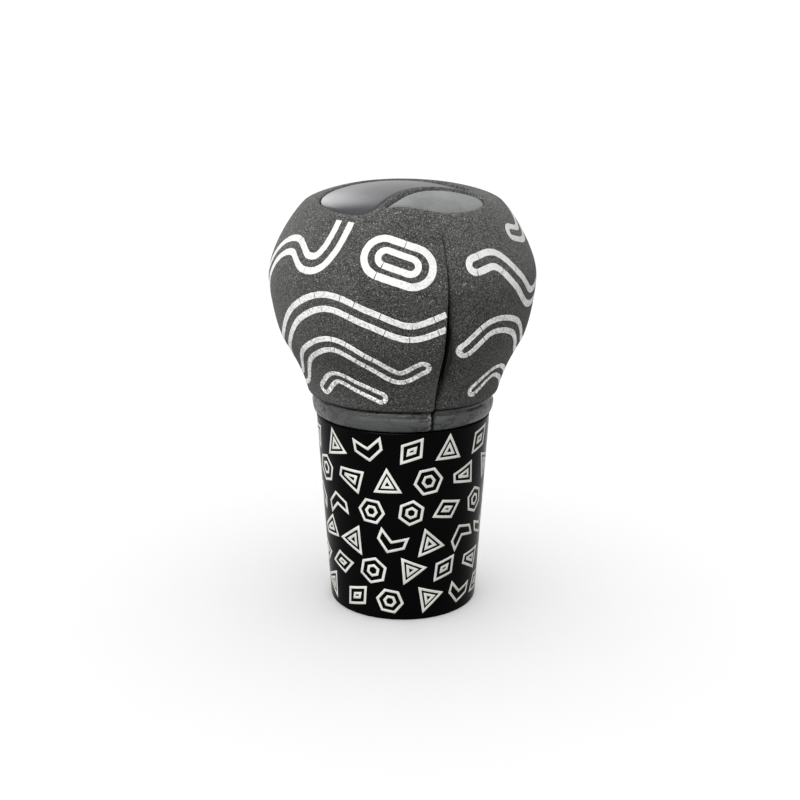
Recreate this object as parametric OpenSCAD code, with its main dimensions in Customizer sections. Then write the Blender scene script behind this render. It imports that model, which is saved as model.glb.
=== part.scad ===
// Gear shift knob. Two half mouldings, each wrapped in its own suede panel, close round a turned stem.
// Two smooth inlays lie in the crown, a leather band hides the neck and a tapered collar pushes on
// from below, over the screws that clamp the lever.
// Millimetres, +Z up. The origin is on the axis at the collar's foot, and the seams lie in the plane x = 0.

/* [Collar] */
// Height of the collar
collar_h = 39.2; // [36:0.2:42]
// Outer radius of the collar at its foot
collar_foot_r = 15; // [14.8:0.1:16]
// Outer radius of the collar at its top edge
collar_top_r = 17.4; // [17.2:0.1:18]
// Wall of the collar beside its tapered bore
collar_wall = 1.6; // [1.2:0.1:1.8]
// Wall of the collar round the neck's spigot
rim_wall = 1.8; // [1.4:0.1:2]
// Height of the land inside the collar that the ring grips
land_h = 5; // [4.4:0.2:6]
// Bevel on the collar's edges
collar_bevel = 0.3; // [0.1:0.05:0.5]

/* [Stem and lever clamp] */
// Radius of the gear lever that the knob takes
lever_r = 5; // [4:0.5:5.5]
// How far the lever reaches into the stem
lever_depth = 47; // [42:1:50]
// Wall of the split bush on the lever
bush_wall = 1.4; // [1:0.1:1.6]
// Thickness of the bush's flange
bush_flange_h = 1; // [0.8:0.1:1.4]
// Width of the bush's slot
bush_slot = 1.6; // [1:0.1:2.2]
// Outer radius of the stem inside the collar
stem_r = 12; // [11.6:0.1:12.2]
// Height of the stem's foot above the collar's foot
stem_foot = 8; // [7.2:0.2:9]
// Outer radius of the stem inside the head
tang_r = 9; // [8.4:0.1:10]
// Width across the flats of the stem's six-sided flange
flange_across = 24.4; // [24:0.2:25]
// Thickness of the six-sided flange
flange_h = 4; // [3:0.5:5]
// Radius of the clamp screws
screw_r = 2.5; // [2:0.25:3]
// Height of the clamp screws above the stem's foot
screw_up = 14; // [10:1:16]
// Width across the flats of a clamp screw's socket
socket_across = 2.5; // [2:0.1:2.6]
// Thickness of the rubber ring's cord
ring_d = 2.4; // [2:0.1:2.6]
// How far the rubber ring stands out of the stem
ring_stand = 1.35; // [1:0.05:1.5]

/* [Neck] */
// Height of the spigot below the neck
spigot_h = 3; // [2:0.5:4]
// Height of the leather band
band_h = 4.1; // [3.4:0.1:5]
// Outer radius of the leather band
band_r = 18.15; // [17.9:0.05:18.4]
// Thickness of the leather band
band_t = 1.25; // [1:0.05:1.5]
// Gap in the leather band's butt joint
band_joint = 0.4; // [0.2:0.1:0.8]

/* [Head] */
// Radius of the suede just above the band
neck_r = 18.85; // [18.6:0.05:19.4]
// Radius of the head at its widest
head_r = 26; // [25:0.5:28]
// Height of the widest place above the neck
widest_up = 23.3; // [22:0.1:25]
// Height of the crown above the widest place
crown_up = 18.05; // [17:0.05:20]
// Thickness of the suede and its backing
cover_t = 1.4; // [1:0.1:1.8]
// Gap between the two panels at the seam
seam_gap = 0.6; // [0.4:0.1:1]
// Thickness of the panels' turned-in edges
lip_t = 1; // [0.6:0.1:1.2]
// How far the edges are turned in below the suede's back
lip_depth = 2.6; // [1.5:0.1:3]
// Radius of the suede's rolled edge above the band
hem_round = 0.7; // [0.4:0.1:1]
// Wall of the core halves round their hollows
core_wall = 2.4; // [2:0.2:3]
// Thickness of the ribs in those hollows
rib_t = 1.8; // [1.4:0.2:2.4]
// Radius of the pegs that locate the two core halves
peg_r = 1.5; // [1.2:0.1:2]
// Length of those pegs
peg_len = 5; // [4:0.5:6]

/* [Crown inlays] */
// How far the round field that the inlays lie in stays inside the head's widest place
field_in = 6; // [5.6:0.2:7]
// How far the inlays' pattern is turned from the seams
crown_turn = -18; // [-24:1:-12]
// Thickness of the inlays
inlay_t = 1.8; // [1.4:0.1:2.2]
// How far the inlays lie below the suede
inlay_drop = 0.35; // [0.1:0.05:0.5]
// Gap between an inlay and the suede round it
inlay_gap = 0.2; // [0.1:0.05:0.3]
// Radius of the inlays' pegs
inlay_peg_r = 1.2; // [1:0.1:1.4]
// Length of the inlays' pegs
inlay_peg_len = 4; // [3:0.5:5]

/* [Hidden] */
$fn = 96;

// Clearances: running and glued pieces, pieces that are seated, the lever, and the collar's top
run_gap = 0.05;
seat_gap = 0.1;
lever_gap = 0.05;
rest_gap = 0.15;
// Length that a cut runs past the surface that it opens
past = 1;

// Colours
black = [0.05, 0.05, 0.05];
suede = [0.3, 0.3, 0.29];
leather = [0.26, 0.26, 0.26];
satin = [0.6, 0.6, 0.62];
metal = [0.75, 0.75, 0.77];
plastic = [0.15, 0.15, 0.16];
steel = [0.35, 0.35, 0.37];

// Heights of the neck, the suede's foot, the widest place and the crown
foot_z = collar_h + rest_gap;
neck_z = foot_z + band_h;
widest_z = neck_z + widest_up;
crown_z = widest_z + crown_up;

// The lever clamp, from the lever outwards
bush_in_r = lever_r + lever_gap;
bush_r = bush_in_r + bush_wall;
stem_bore_r = bush_r + run_gap;
bush_flange_r = bush_r + 2;
screw_in = bush_r + seat_gap;
screw_sunk = 0.45;
screw_len = stem_r - screw_sunk - screw_in;
screw_z = stem_foot + screw_up;
end_wall = 4;
stem_top = stem_foot + lever_depth + end_wall;
flange_floor = 2.6;
flange_z = foot_z + flange_floor;

// The ring's groove in the stem and the land in the collar that it grips
ring_r = stem_r + ring_stand - ring_d / 2;
groove_h = ring_d + 0.5;
land_r = stem_r + ring_stand + run_gap;
land_top = collar_h - spigot_h - 0.3;
ring_z = land_top - land_h / 2;
socket_r = collar_top_r - rim_wall;
spigot_r = socket_r - seat_gap;

// Radius of the round field that the inlays lie in
field_r = head_r - field_in;

// Where the locating pegs of the core lie on the joint face
peg_y = 15;
peg_z = widest_z - 1;

// Directions of the head's outline at its stations, in degrees from the level
neck_lean = 82;
flank_lean = 61;
shoulder_lean = 136;

// Outer radius of the collar at a height
function collar_r(z) = collar_foot_r + (collar_top_r - collar_foot_r) * z / collar_h;

// Points of an arc about a centre, between two angles in degrees
arc_steps = 8;
function arc(centre, r, from, to) =
    [for (i = [0 : arc_steps]) let (a = from + (to - from) * i / arc_steps)
        centre + r * [cos(a), sin(a)]];

// Points of one smooth span from a to b. The leans are the curve's directions at its ends, in degrees
// from the level, and the pulls say how far each of them reaches, in shares of the span's length.
span_steps = 8;
function span(a, b, lean_a, lean_b, pull_a, pull_b) =
    let (reach = norm(b - a),
        p = a + pull_a * reach * [cos(lean_a), sin(lean_a)],
        q = b - pull_b * reach * [cos(lean_b), sin(lean_b)])
    [for (i = [0 : span_steps - 1]) let (t = i / span_steps, s = 1 - t)
        s * s * s * a + 3 * s * s * t * p + 3 * s * t * t * q + t * t * t * b];

// The head's outline runs through five stations: neck, flank, widest place, shoulder and crown
neck = [neck_r, neck_z];
flank = [neck_r + 0.64 * (head_r - neck_r), neck_z + 0.47 * widest_up];
widest = [head_r, widest_z];
shoulder = [0.73 * head_r, crown_z - 0.215 * crown_up];
crown = [0, crown_z];
head_line = concat(
    span(neck, flank, neck_lean, flank_lean, 0.35, 0.19),
    span(flank, widest, flank_lean, 90, 0.28, 0.16),
    span(widest, shoulder, 90, shoulder_lean, 0.29, 0.24),
    span(shoulder, crown, shoulder_lean, 180, 0.11, 0.53),
    [crown]);

// The head's outline moved inwards by a depth, square to itself at every point
function inset(depth) =
    let (last = len(head_line) - 1)
    [for (i = [0 : last])
        let (along = i == last ? [-1, 0] : head_line[i + 1] - head_line[max(i - 1, 0)])
        head_line[i] + depth * [-along.y, along.x] / norm(along)];

// Height of that surface at a radius within the crown
function dome_z(r, depth) =
    let (line = inset(depth), first = 3 * span_steps)
    lookup(r, [for (i = [first : len(line) - 1]) line[i]]);

// Closed smooth curve through points that run anticlockwise, moved outwards by grow
loop_steps = 4;
function smooth_loop(points, grow) =
    let (n = len(points),
        loop = [for (i = [0 : n - 1], k = [0 : loop_steps - 1])
            let (a = points[(i + n - 1) % n], b = points[i], c = points[(i + 1) % n],
                d = points[(i + 2) % n], t = k / loop_steps)
            b + 0.5 * t * ((c - a) + t * ((2 * a - 5 * b + 4 * c - d) + t * (3 * (b - c) + d - a)))],
        m = len(loop))
    [for (i = [0 : m - 1])
        let (along = loop[(i + 1) % m] - loop[(i + m - 1) % m])
        loop[i] + grow * [along.y, -along.x] / norm(along)];

// The inlays' outlines seen from above, in shares of the field's radius. The left one is a broad leaf
// whose tail runs over the crown behind the right one, which is a narrower leaf at the front.
left_leaf = [[-0.765, -0.42], [-0.715, -0.59], [-0.585, -0.76], [-0.445, -0.865], [-0.33, -0.905],
    [-0.235, -0.875], [-0.125, -0.71], [0.03, -0.495], [0.285, -0.33], [0.6, -0.275], [0.42, -0.14],
    [0.12, 0.11], [-0.22, 0.21], [-0.55, -0.01], [-0.72, -0.23]];
right_leaf = [[-0.15, -0.885], [-0.025, -0.885], [0.185, -0.905], [0.39, -0.87], [0.605, -0.73],
    [0.745, -0.52], [0.675, -0.4], [0.435, -0.39], [0.21, -0.465], [0.055, -0.605], [-0.065, -0.775]];
left_pegs = [[-0.47, -0.52], [-0.18, 0.0]];
right_pegs = [[0.42, -0.68], [0.58, -0.6]];

// Everything on one side of the joint plane, side -1 for the left and 1 for the right, from a distance
// off the plane outwards
module half(side, from) {
    reach = 2 * head_r;
    translate([side > 0 ? from : -from - reach, -reach / 2, -past])
        cube([reach, reach, 2 * crown_z]);
}

// Solid inside the head's outline, moved inwards by a depth, from the neck up
module head_solid(depth) {
    line = inset(depth);
    rotate_extrude()
        polygon(concat([[0, neck_z], [line[0].x, neck_z]], line));
}

// The head with its suede's edge above the band rolled in, by an arc that meets the outline smoothly
module rolled_solid() {
    centre = [neck_r - hem_round * tan(neck_lean / 2), neck_z + hem_round];
    rotate_extrude()
        polygon(concat([[0, neck_z]], arc(centre, hem_round, -90, neck_lean - 90),
            [for (i = [1 : len(head_line) - 1]) head_line[i]]));
}

// Upright prism over an inlay's outline
module leaf_prism(leaf, grow) {
    rotate([0, 0, crown_turn])
        translate([0, 0, widest_z])
            linear_extrude(height = crown_up + past)
                polygon(smooth_loop(field_r * leaf, grow));
}

// The pegs under an inlay, or the holes for them
module leaf_pegs(pegs, r, len, top_depth) {
    rotate([0, 0, crown_turn])
        for (p = pegs) {
            under = dome_z(norm(field_r * p), inlay_drop + inlay_t);
            top = dome_z(norm(field_r * p), top_depth);
            translate([field_r * p.x, field_r * p.y, under - len])
                cylinder(h = top - under + len, r = r, $fn = 32);
        }
}

// Slab along the joint plane that the turned-in edges fill
module seam_slab(width) {
    translate([-width / 2, -head_r - past, neck_z - past])
        cube([width, 2 * (head_r + past), crown_z]);
}

// Collar: turned, tapered outside, with a land for the ring and a socket for the neck's spigot
module collar() {
    step = land_top - land_h;
    slope = 1.2;
    color(black)
        rotate_extrude()
            polygon([
                [collar_foot_r - collar_wall, 0],
                [collar_foot_r - collar_bevel, 0],
                [collar_r(collar_bevel), collar_bevel],
                [collar_r(collar_h - collar_bevel), collar_h - collar_bevel],
                [collar_top_r - collar_bevel, collar_h],
                [socket_r, collar_h],
                [socket_r, land_top],
                [land_r, land_top],
                [land_r, step],
                [collar_r(step - slope) - collar_wall, step - slope]]);
}

// Section of the core: a spigot in the collar, the seat of the band, and the head less its suede
module core_blank() {
    line = inset(cover_t + run_gap);
    seat_r = band_r - band_t - run_gap;
    rotate_extrude()
        polygon(concat([
            [0, foot_z - spigot_h],
            [spigot_r - collar_bevel, foot_z - spigot_h],
            [spigot_r, foot_z - spigot_h + collar_bevel],
            [spigot_r, foot_z],
            [seat_r, foot_z],
            [seat_r, neck_z],
            [line[0].x, neck_z]], line));
}

// Room in the core for the stem: its round shank, its six-sided flange and its tang
module stem_room() {
    flange_r = flange_across / 2 / cos(30) + seat_gap;
    translate([0, 0, foot_z - spigot_h - past])
        cylinder(h = flange_z - foot_z + spigot_h + 2 * past, r = stem_r + run_gap);
    translate([0, 0, flange_z - run_gap])
        cylinder(h = flange_h + 2 * run_gap, r = flange_r, $fn = 6);
    translate([0, 0, flange_z])
        cylinder(h = stem_top - flange_z + seat_gap, r = tang_r + run_gap);
}

// Seats in the core for an inlay and its pegs
module leaf_seat(leaf, pegs) {
    difference() {
        leaf_prism(leaf, inlay_gap);
        head_solid(inlay_drop + inlay_t + seat_gap);
    }
    leaf_pegs(pegs, inlay_peg_r + run_gap, inlay_peg_len + seat_gap, inlay_drop);
}

// Rebate in the core that the panels' turned-in edges lie in
module seam_rebate() {
    intersection() {
        seam_slab(seam_gap + 2 * (lip_t + seat_gap));
        difference() {
            head_solid(cover_t / 2);
            head_solid(cover_t + lip_depth + seat_gap);
        }
    }
}

// Hollows in the core, open at the joint face: within the walls, above the flange and below the inlays'
// pegs, with a boss round the stem's tang, bosses round the locating pegs, and ribs between them
module core_hollows() {
    floor_z = flange_z + flange_h + core_wall;
    peg_foot = dome_z(norm(field_r * right_pegs[1]), inlay_drop + inlay_t) - inlay_peg_len - seat_gap;
    roof_z = peg_foot - core_wall;
    rib_pitch = (roof_z - floor_z) / 3;
    difference() {
        intersection() {
            head_solid(cover_t + lip_depth + seat_gap + core_wall);
            translate([-head_r, -head_r, floor_z])
                cube([2 * head_r, 2 * head_r, roof_z - floor_z]);
        }
        translate([0, 0, floor_z - past])
            cylinder(h = stem_top + core_wall - floor_z + past, r = tang_r + core_wall);
        for (side = [-1, 1])
            translate([-head_r, side * peg_y, peg_z])
                rotate([0, 90, 0])
                    cylinder(h = 2 * head_r, r = peg_r + core_wall, $fn = 48);
        for (k = [1, 2])
            translate([0, 0, floor_z + k * rib_pitch - rib_t / 2])
                cylinder(h = rib_t, r = head_r);
        translate([-head_r, -rib_t / 2, floor_z - past])
            cube([2 * head_r, rib_t, roof_z - floor_z + 2 * past]);
    }
}

// Pegs on the joint face, or the holes for them, pointing to the right
module locating_pegs(r, len) {
    for (side = [-1, 1])
        translate([-past, side * peg_y, peg_z])
            rotate([0, 90, 0])
                cylinder(h = len + past, r = r, $fn = 32);
}

// One half of the moulded core
module core(side) {
    color(plastic)
        difference() {
            intersection() {
                core_blank();
                half(side, 0);
            }
            stem_room();
            core_hollows();
            seam_rebate();
            leaf_seat(left_leaf, left_pegs);
            leaf_seat(right_leaf, right_pegs);
            if (side > 0) locating_pegs(peg_r + run_gap, peg_len + seat_gap);
        }
    if (side < 0)
        color(plastic) locating_pegs(peg_r, peg_len);
}

// One suede panel, with its edges turned in at the seam
module cover(side) {
    color(suede)
        difference() {
            intersection() {
                union() {
                    difference() {
                        rolled_solid();
                        head_solid(cover_t);
                    }
                    intersection() {
                        seam_slab(seam_gap + 2 * lip_t);
                        difference() {
                            head_solid(cover_t / 2);
                            head_solid(cover_t + lip_depth);
                        }
                    }
                }
                half(side, seam_gap / 2);
            }
            leaf_prism(left_leaf, inlay_gap);
            leaf_prism(right_leaf, inlay_gap);
        }
}

// Domed inlay that follows the crown, with pegs in the core
module inlay(leaf, pegs) {
    color(satin) {
        difference() {
            intersection() {
                head_solid(inlay_drop);
                leaf_prism(leaf, 0);
            }
            head_solid(inlay_drop + inlay_t);
        }
        leaf_pegs(pegs, inlay_peg_r, inlay_peg_len, inlay_drop + inlay_t / 2);
    }
}

// Leather band round the neck, with rolled edges and a butt joint below the front seam
module trim_band() {
    foot_round = 1;
    top_round = 0.6;
    in_r = band_r - band_t;
    color(leather)
        difference() {
            rotate_extrude()
                polygon(concat(
                    [[in_r, foot_z]],
                    arc([band_r - foot_round, foot_z + foot_round], foot_round, -90, 0),
                    arc([band_r - top_round, neck_z - run_gap - top_round], top_round, 0, 90),
                    [[in_r, neck_z - run_gap]]));
            translate([-band_joint / 2, -band_r - past, foot_z - past])
                cube([band_joint, band_r, band_h + 2 * past]);
        }
}

// Turned stem: shank with the lever's bore and tapped holes, groove for the ring, flange and tang
module stem_insert() {
    chamfer = 0.6;
    groove_r = ring_r - ring_d / 2;
    color(metal)
        difference() {
            union() {
                rotate_extrude()
                    polygon([
                        [0, stem_foot],
                        [stem_r - chamfer, stem_foot],
                        [stem_r, stem_foot + chamfer],
                        [stem_r, ring_z - groove_h / 2],
                        [groove_r, ring_z - groove_h / 2],
                        [groove_r, ring_z + groove_h / 2],
                        [stem_r, ring_z + groove_h / 2],
                        [stem_r, flange_z + flange_h / 2],
                        [tang_r, flange_z + flange_h / 2],
                        [tang_r, stem_top - chamfer],
                        [tang_r - chamfer, stem_top],
                        [0, stem_top]]);
                translate([0, 0, flange_z])
                    cylinder(h = flange_h, r = flange_across / 2 / cos(30), $fn = 6);
            }
            translate([0, 0, stem_foot - past])
                cylinder(h = lever_depth + past, r = stem_bore_r);
            for (k = [0 : 2])
                screw_place(k)
                    translate([0, 0, lever_r])
                        cylinder(h = stem_r, r = screw_r, $fn = 48);
        }
}

// Place of a clamp screw: its own +Z points outwards, and the first screw faces the front
module screw_place(k) {
    translate([0, 0, screw_z])
        rotate([90, 0, 120 * k])
            children();
}

// Hexagon socket screw without a head, with a hollow point
module grub_screw(k) {
    body_r = screw_r - run_gap;
    bevel = 0.5;
    socket_deep = 0.45 * screw_len;
    color(steel)
        screw_place(k)
            translate([0, 0, screw_in])
                difference() {
                    rotate_extrude()
                        polygon([
                            [0, bevel],
                            [body_r / 2, 0],
                            [body_r - bevel, 0],
                            [body_r, bevel],
                            [body_r, screw_len - bevel],
                            [body_r - bevel, screw_len],
                            [0, screw_len]]);
                    translate([0, 0, screw_len - socket_deep])
                        cylinder(h = socket_deep + past, r = socket_across / 2 / cos(30), $fn = 6);
                }
}

// Split bush between the lever and the stem, open at the back
module reducer_bush() {
    color(plastic)
        difference() {
            rotate_extrude()
                polygon([
                    [bush_in_r, stem_foot - bush_flange_h],
                    [bush_flange_r, stem_foot - bush_flange_h],
                    [bush_flange_r, stem_foot],
                    [bush_r, stem_foot],
                    [bush_r, stem_foot + lever_depth - past],
                    [bush_in_r, stem_foot + lever_depth - past]]);
            translate([-bush_slot / 2, 0, 0])
                cube([bush_slot, bush_flange_r + past, stem_foot + lever_depth + past]);
        }
}

// Rubber ring in the stem's groove
module o_ring() {
    color(black)
        translate([0, 0, ring_z])
            rotate_extrude()
                translate([ring_r, 0])
                    circle(d = ring_d, $fn = 48);
}

collar();
core(-1);  // core_left
core(1);  // core_right
cover(-1);  // cover_left
cover(1);  // cover_right
inlay(left_leaf, left_pegs);  // top_inlay_left
inlay(right_leaf, right_pegs);  // top_inlay_right
trim_band();
stem_insert();
reducer_bush();
grub_screw(0);  // grub_screw_1
grub_screw(1);  // grub_screw_2
grub_screw(2);  // grub_screw_3
o_ring();
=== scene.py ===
"""Looks of a gear shift knob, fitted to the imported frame.

A suede head of two panels with printed foil lines, two inlays in its crown, a leather band round the neck,
and a gloss black collar with printed outlines over the lever clamp. A length is in metres and an angle in
radians, unless a docstring says otherwise. An angle round the axis is 0 at the front and grows towards +X.
"""

import logging
import math
from collections.abc import Sequence
from dataclasses import dataclass, field
from enum import Enum
from functools import cache, cached_property

import bmesh
import bpy
import numpy as np
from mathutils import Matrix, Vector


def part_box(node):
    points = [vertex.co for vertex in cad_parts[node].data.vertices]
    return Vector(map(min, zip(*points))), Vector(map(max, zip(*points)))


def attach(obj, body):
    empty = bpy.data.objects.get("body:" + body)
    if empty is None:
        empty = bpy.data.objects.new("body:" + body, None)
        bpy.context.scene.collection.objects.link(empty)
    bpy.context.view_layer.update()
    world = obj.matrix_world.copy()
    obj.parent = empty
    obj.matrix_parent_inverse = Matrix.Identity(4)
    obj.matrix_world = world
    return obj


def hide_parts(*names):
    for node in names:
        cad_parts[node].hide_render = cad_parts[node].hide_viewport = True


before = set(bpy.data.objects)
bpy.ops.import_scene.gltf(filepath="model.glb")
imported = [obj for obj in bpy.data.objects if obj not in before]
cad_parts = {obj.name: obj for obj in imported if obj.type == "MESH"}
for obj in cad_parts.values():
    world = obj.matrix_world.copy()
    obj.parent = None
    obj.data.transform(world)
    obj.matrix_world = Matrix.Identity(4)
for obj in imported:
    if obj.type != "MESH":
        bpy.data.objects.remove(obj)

Array = np.ndarray
Colour = tuple[float, float, float]
Pair = tuple[float, float]
Link = bpy.types.NodeSocket
Given = Link | float | Colour
MM = 0.001
MERGE = 1e-7
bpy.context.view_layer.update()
LOG = logging.getLogger("knob")
HEAD_BODY = "head"
COLLAR_BODY = "collar"


class Side(Enum):
    """The two sides of the joint plane, as seen from the front."""

    LEFT = -1
    RIGHT = 1


class Leaf(Enum):
    """The two inlays' outlines, anticlockwise from above, in shares of the inlays' round field."""

    LEFT = ((-0.765, -0.42), (-0.715, -0.59), (-0.585, -0.76), (-0.445, -0.865), (-0.33, -0.905),
            (-0.235, -0.875), (-0.125, -0.71), (0.03, -0.495), (0.285, -0.33), (0.6, -0.275), (0.42, -0.14),
            (0.12, 0.11), (-0.22, 0.21), (-0.55, -0.01), (-0.72, -0.23))
    RIGHT = ((-0.15, -0.885), (-0.025, -0.885), (0.185, -0.905), (0.39, -0.87), (0.605, -0.73),
             (0.745, -0.52), (0.675, -0.4), (0.435, -0.39), (0.21, -0.465), (0.055, -0.605), (-0.065, -0.775))


# Curves and meshes


def turned(r: Array, angle: Array, z: Array) -> Array:
    """Points at a radius, an angle round the axis and a height."""
    return np.stack(np.broadcast_arrays(r * np.sin(angle), -r * np.cos(angle), z), -1)


def unit(vectors: Array) -> Array:
    """The same vectors, each of length one."""
    return vectors / np.linalg.norm(vectors, axis=-1, keepdims=True)


def rotation(angle: float) -> Array:
    """Matrix that turns rows of plan points anticlockwise."""
    c, s = math.cos(angle), math.sin(angle)
    return np.array([[c, s], [-s, c]])


def lengths(path: Array) -> Array:
    """Length of a path up to each of its points."""
    return np.concatenate([[0], np.cumsum(np.linalg.norm(np.diff(path, axis=0), axis=1))])


def cubics(a: Array, b: Array, c: Array, d: Array, steps: int) -> Array:
    """Smooth curve from b to c on each span, where the points before and after it are a and d.

    A span is a cubic through b and c that leaves b along the chord from a to c, and reaches c along the
    chord from b to d.

    Args:
        a: the points before the spans, shaped (spans, 1, axes), as b, c and d are.
        b: the spans' first points.
        c: the spans' last points.
        d: the points after the spans.
        steps: points on each span, with b and without c.

    Returns:
        The points in order.
    """
    t = (np.arange(steps) / steps)[None, :, None]
    curve = b + 0.5 * t * ((c - a) + t * ((2 * a - 5 * b + 4 * c - d) + t * (3 * (b - c) + d - a)))
    return curve.reshape(-1, b.shape[-1])


def smooth_loop(points: Array, steps: int) -> Array:
    """Closed smooth curve through points, with a number of steps on each span."""
    return cubics(*(np.roll(points, k, axis=0)[:, None, :] for k in (1, 0, -1, -2)), steps)


def smooth_path(points: Array, steps: int) -> Array:
    """Open smooth curve through points, whose end chords are carried on beyond its ends.

    Args:
        points: the points in order.
        steps: points on each span.

    Returns:
        The curve's points, with the last one.
    """
    ends = np.concatenate([[2 * points[0] - points[1]], points, [2 * points[-1] - points[-2]]])
    curve = cubics(*(ends[k:len(ends) - 3 + k, None, :] for k in range(4)), steps)
    return np.concatenate([curve, points[-1:]])


def resample(path: Array, share: Array) -> Array:
    """Points of a path at shares of its length."""
    run = lengths(path)
    return np.stack([np.interp(share * run[-1], run, path[:, k]) for k in range(path.shape[1])], -1)


def grown(loop: Array, grow: float) -> Array:
    """Loop moved outwards: each point steps off square to the chord of its neighbours.

    Args:
        loop: plan points, anticlockwise.
        grow: length of the step.

    Returns:
        The loop's new points.
    """
    along = np.roll(loop, -1, axis=0) - np.roll(loop, 1, axis=0)
    out = np.stack([along[:, 1], -along[:, 0]], -1)
    return loop + grow * out / np.linalg.norm(out, axis=1, keepdims=True)


def signed_distance(points: Array, loop: Array) -> Array:
    """Distance from points to a closed loop, below zero inside it.

    It is the least distance to the loop's sides, with the sign from how often a ray along +X crosses them.

    Args:
        points: plan points, shaped (many, 2).
        loop: the loop's corners in order.

    Returns:
        One distance for each point.
    """
    a, b = loop, np.roll(loop, -1, axis=0)
    side = b - a
    away = points[:, None, :] - a
    share = np.clip((away * side).sum(-1) / (side * side).sum(-1), 0, 1)
    near = np.linalg.norm(away - share[..., None] * side, axis=-1).min(1)
    spans = (a[:, 1] > points[:, 1:]) != (b[:, 1] > points[:, 1:])
    rise = np.where(side[:, 1] == 0, 1e-12, side[:, 1])
    crossing = points[:, :1] < a[:, 0] + (points[:, 1:] - a[:, 1]) * side[:, 0] / rise
    inside = (spans & crossing).sum(1) % 2 == 1
    return np.where(inside, -near, near)


def quarter_round(distance: Array, radius: Array | float) -> Array:
    """Drop of an edge rounded by a quarter circle, at a distance inwards from the edge."""
    short = np.clip(radius - distance, 0, radius)
    return radius - np.sqrt(np.maximum(radius**2 - short**2, 0))


def eased(many: int) -> Array:
    """Shares from 0 to 1 that lie closer together at both ends, as a half cosine wave does."""
    return (1 - np.cos(np.linspace(0, np.pi, many))) / 2


def waves(*phases: Array) -> Array:
    """Sum of sine waves of falling height, one for each phase."""
    return sum(np.sin(p) / (k + 1) for k, p in enumerate(phases))


@dataclass
class MeshBuilder:
    """Gathers grids of points and joins them into one object."""

    points: list[Array] = field(default_factory=list)
    faces: list[list[int]] = field(default_factory=list)
    count: int = 0

    def place(self, grid: Array) -> Array:
        """Adds points without faces.

        Args:
            grid: points in rows and columns, shaped (rows, columns, 3).

        Returns:
            The points' numbers, in the same rows and columns.
        """
        numbers = self.count + np.arange(grid.size // 3).reshape(grid.shape[:2])
        self.points.append(grid.reshape(-1, 3))
        self.count += numbers.size
        return numbers

    def grid(self, grid: Array, close_rows: bool = False, close_columns: bool = False) -> Array:
        """Adds a grid of quads.

        Args:
            grid: points in rows and columns, shaped (rows, columns, 3).
            close_rows: joins the last row to the first.
            close_columns: joins the last column to the first.

        Returns:
            The points' numbers, in rows and columns.
        """
        numbers = self.place(grid)
        down, right = np.roll(numbers, -1, axis=0), np.roll(numbers, -1, axis=1)
        quads = np.stack([numbers, right, np.roll(down, -1, axis=1), down], -1)
        quads = quads[:None if close_rows else -1, :None if close_columns else -1]
        self.faces += quads.reshape(-1, 4).tolist()
        return numbers

    def tube(self, rings: Array) -> None:
        """Adds a closed tube through rings of points, shaped (rings, points in a ring, 3), with flat ends."""
        numbers = self.grid(rings, close_columns=True)
        self.faces += [numbers[0, ::-1].tolist(), numbers[-1].tolist()]

    def build(self, name: str, weld: float = 0.0, sharp: float = 40.0,
              outward: bool = False) -> bpy.types.Object:
        """Makes the object.

        Args:
            name: the object's name.
            weld: distance within which points are merged, which closes poles.
            sharp: angle in degrees above which an edge stays sharp.
            outward: turns the faces outwards. A welded mesh always has this done.

        Returns:
            The object, linked to the scene.
        """
        mesh = bpy.data.meshes.new(name)
        mesh.from_pydata(np.concatenate(self.points).tolist(), [], self.faces)
        if weld or outward:
            work = bmesh.new()
            work.from_mesh(mesh)
            if weld:
                bmesh.ops.remove_doubles(work, verts=work.verts, dist=weld)
            bmesh.ops.recalc_face_normals(work, faces=work.faces)
            work.to_mesh(mesh)
            work.free()
        return link(name, mesh, sharp)


def link(name: str, mesh: bpy.types.Mesh, sharp: float) -> bpy.types.Object:
    """Shades a mesh smooth but for its sharp edges, and puts it into the scene.

    Args:
        name: the object's name.
        mesh: its mesh.
        sharp: angle in degrees above which an edge stays sharp.

    Returns:
        The object.
    """
    mesh.validate()
    mesh.shade_smooth()
    mesh.set_sharp_from_angle(angle=math.radians(sharp))
    piece = bpy.data.objects.new(name, mesh)
    bpy.context.scene.collection.objects.link(piece)
    return piece


# Shader nodes


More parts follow.
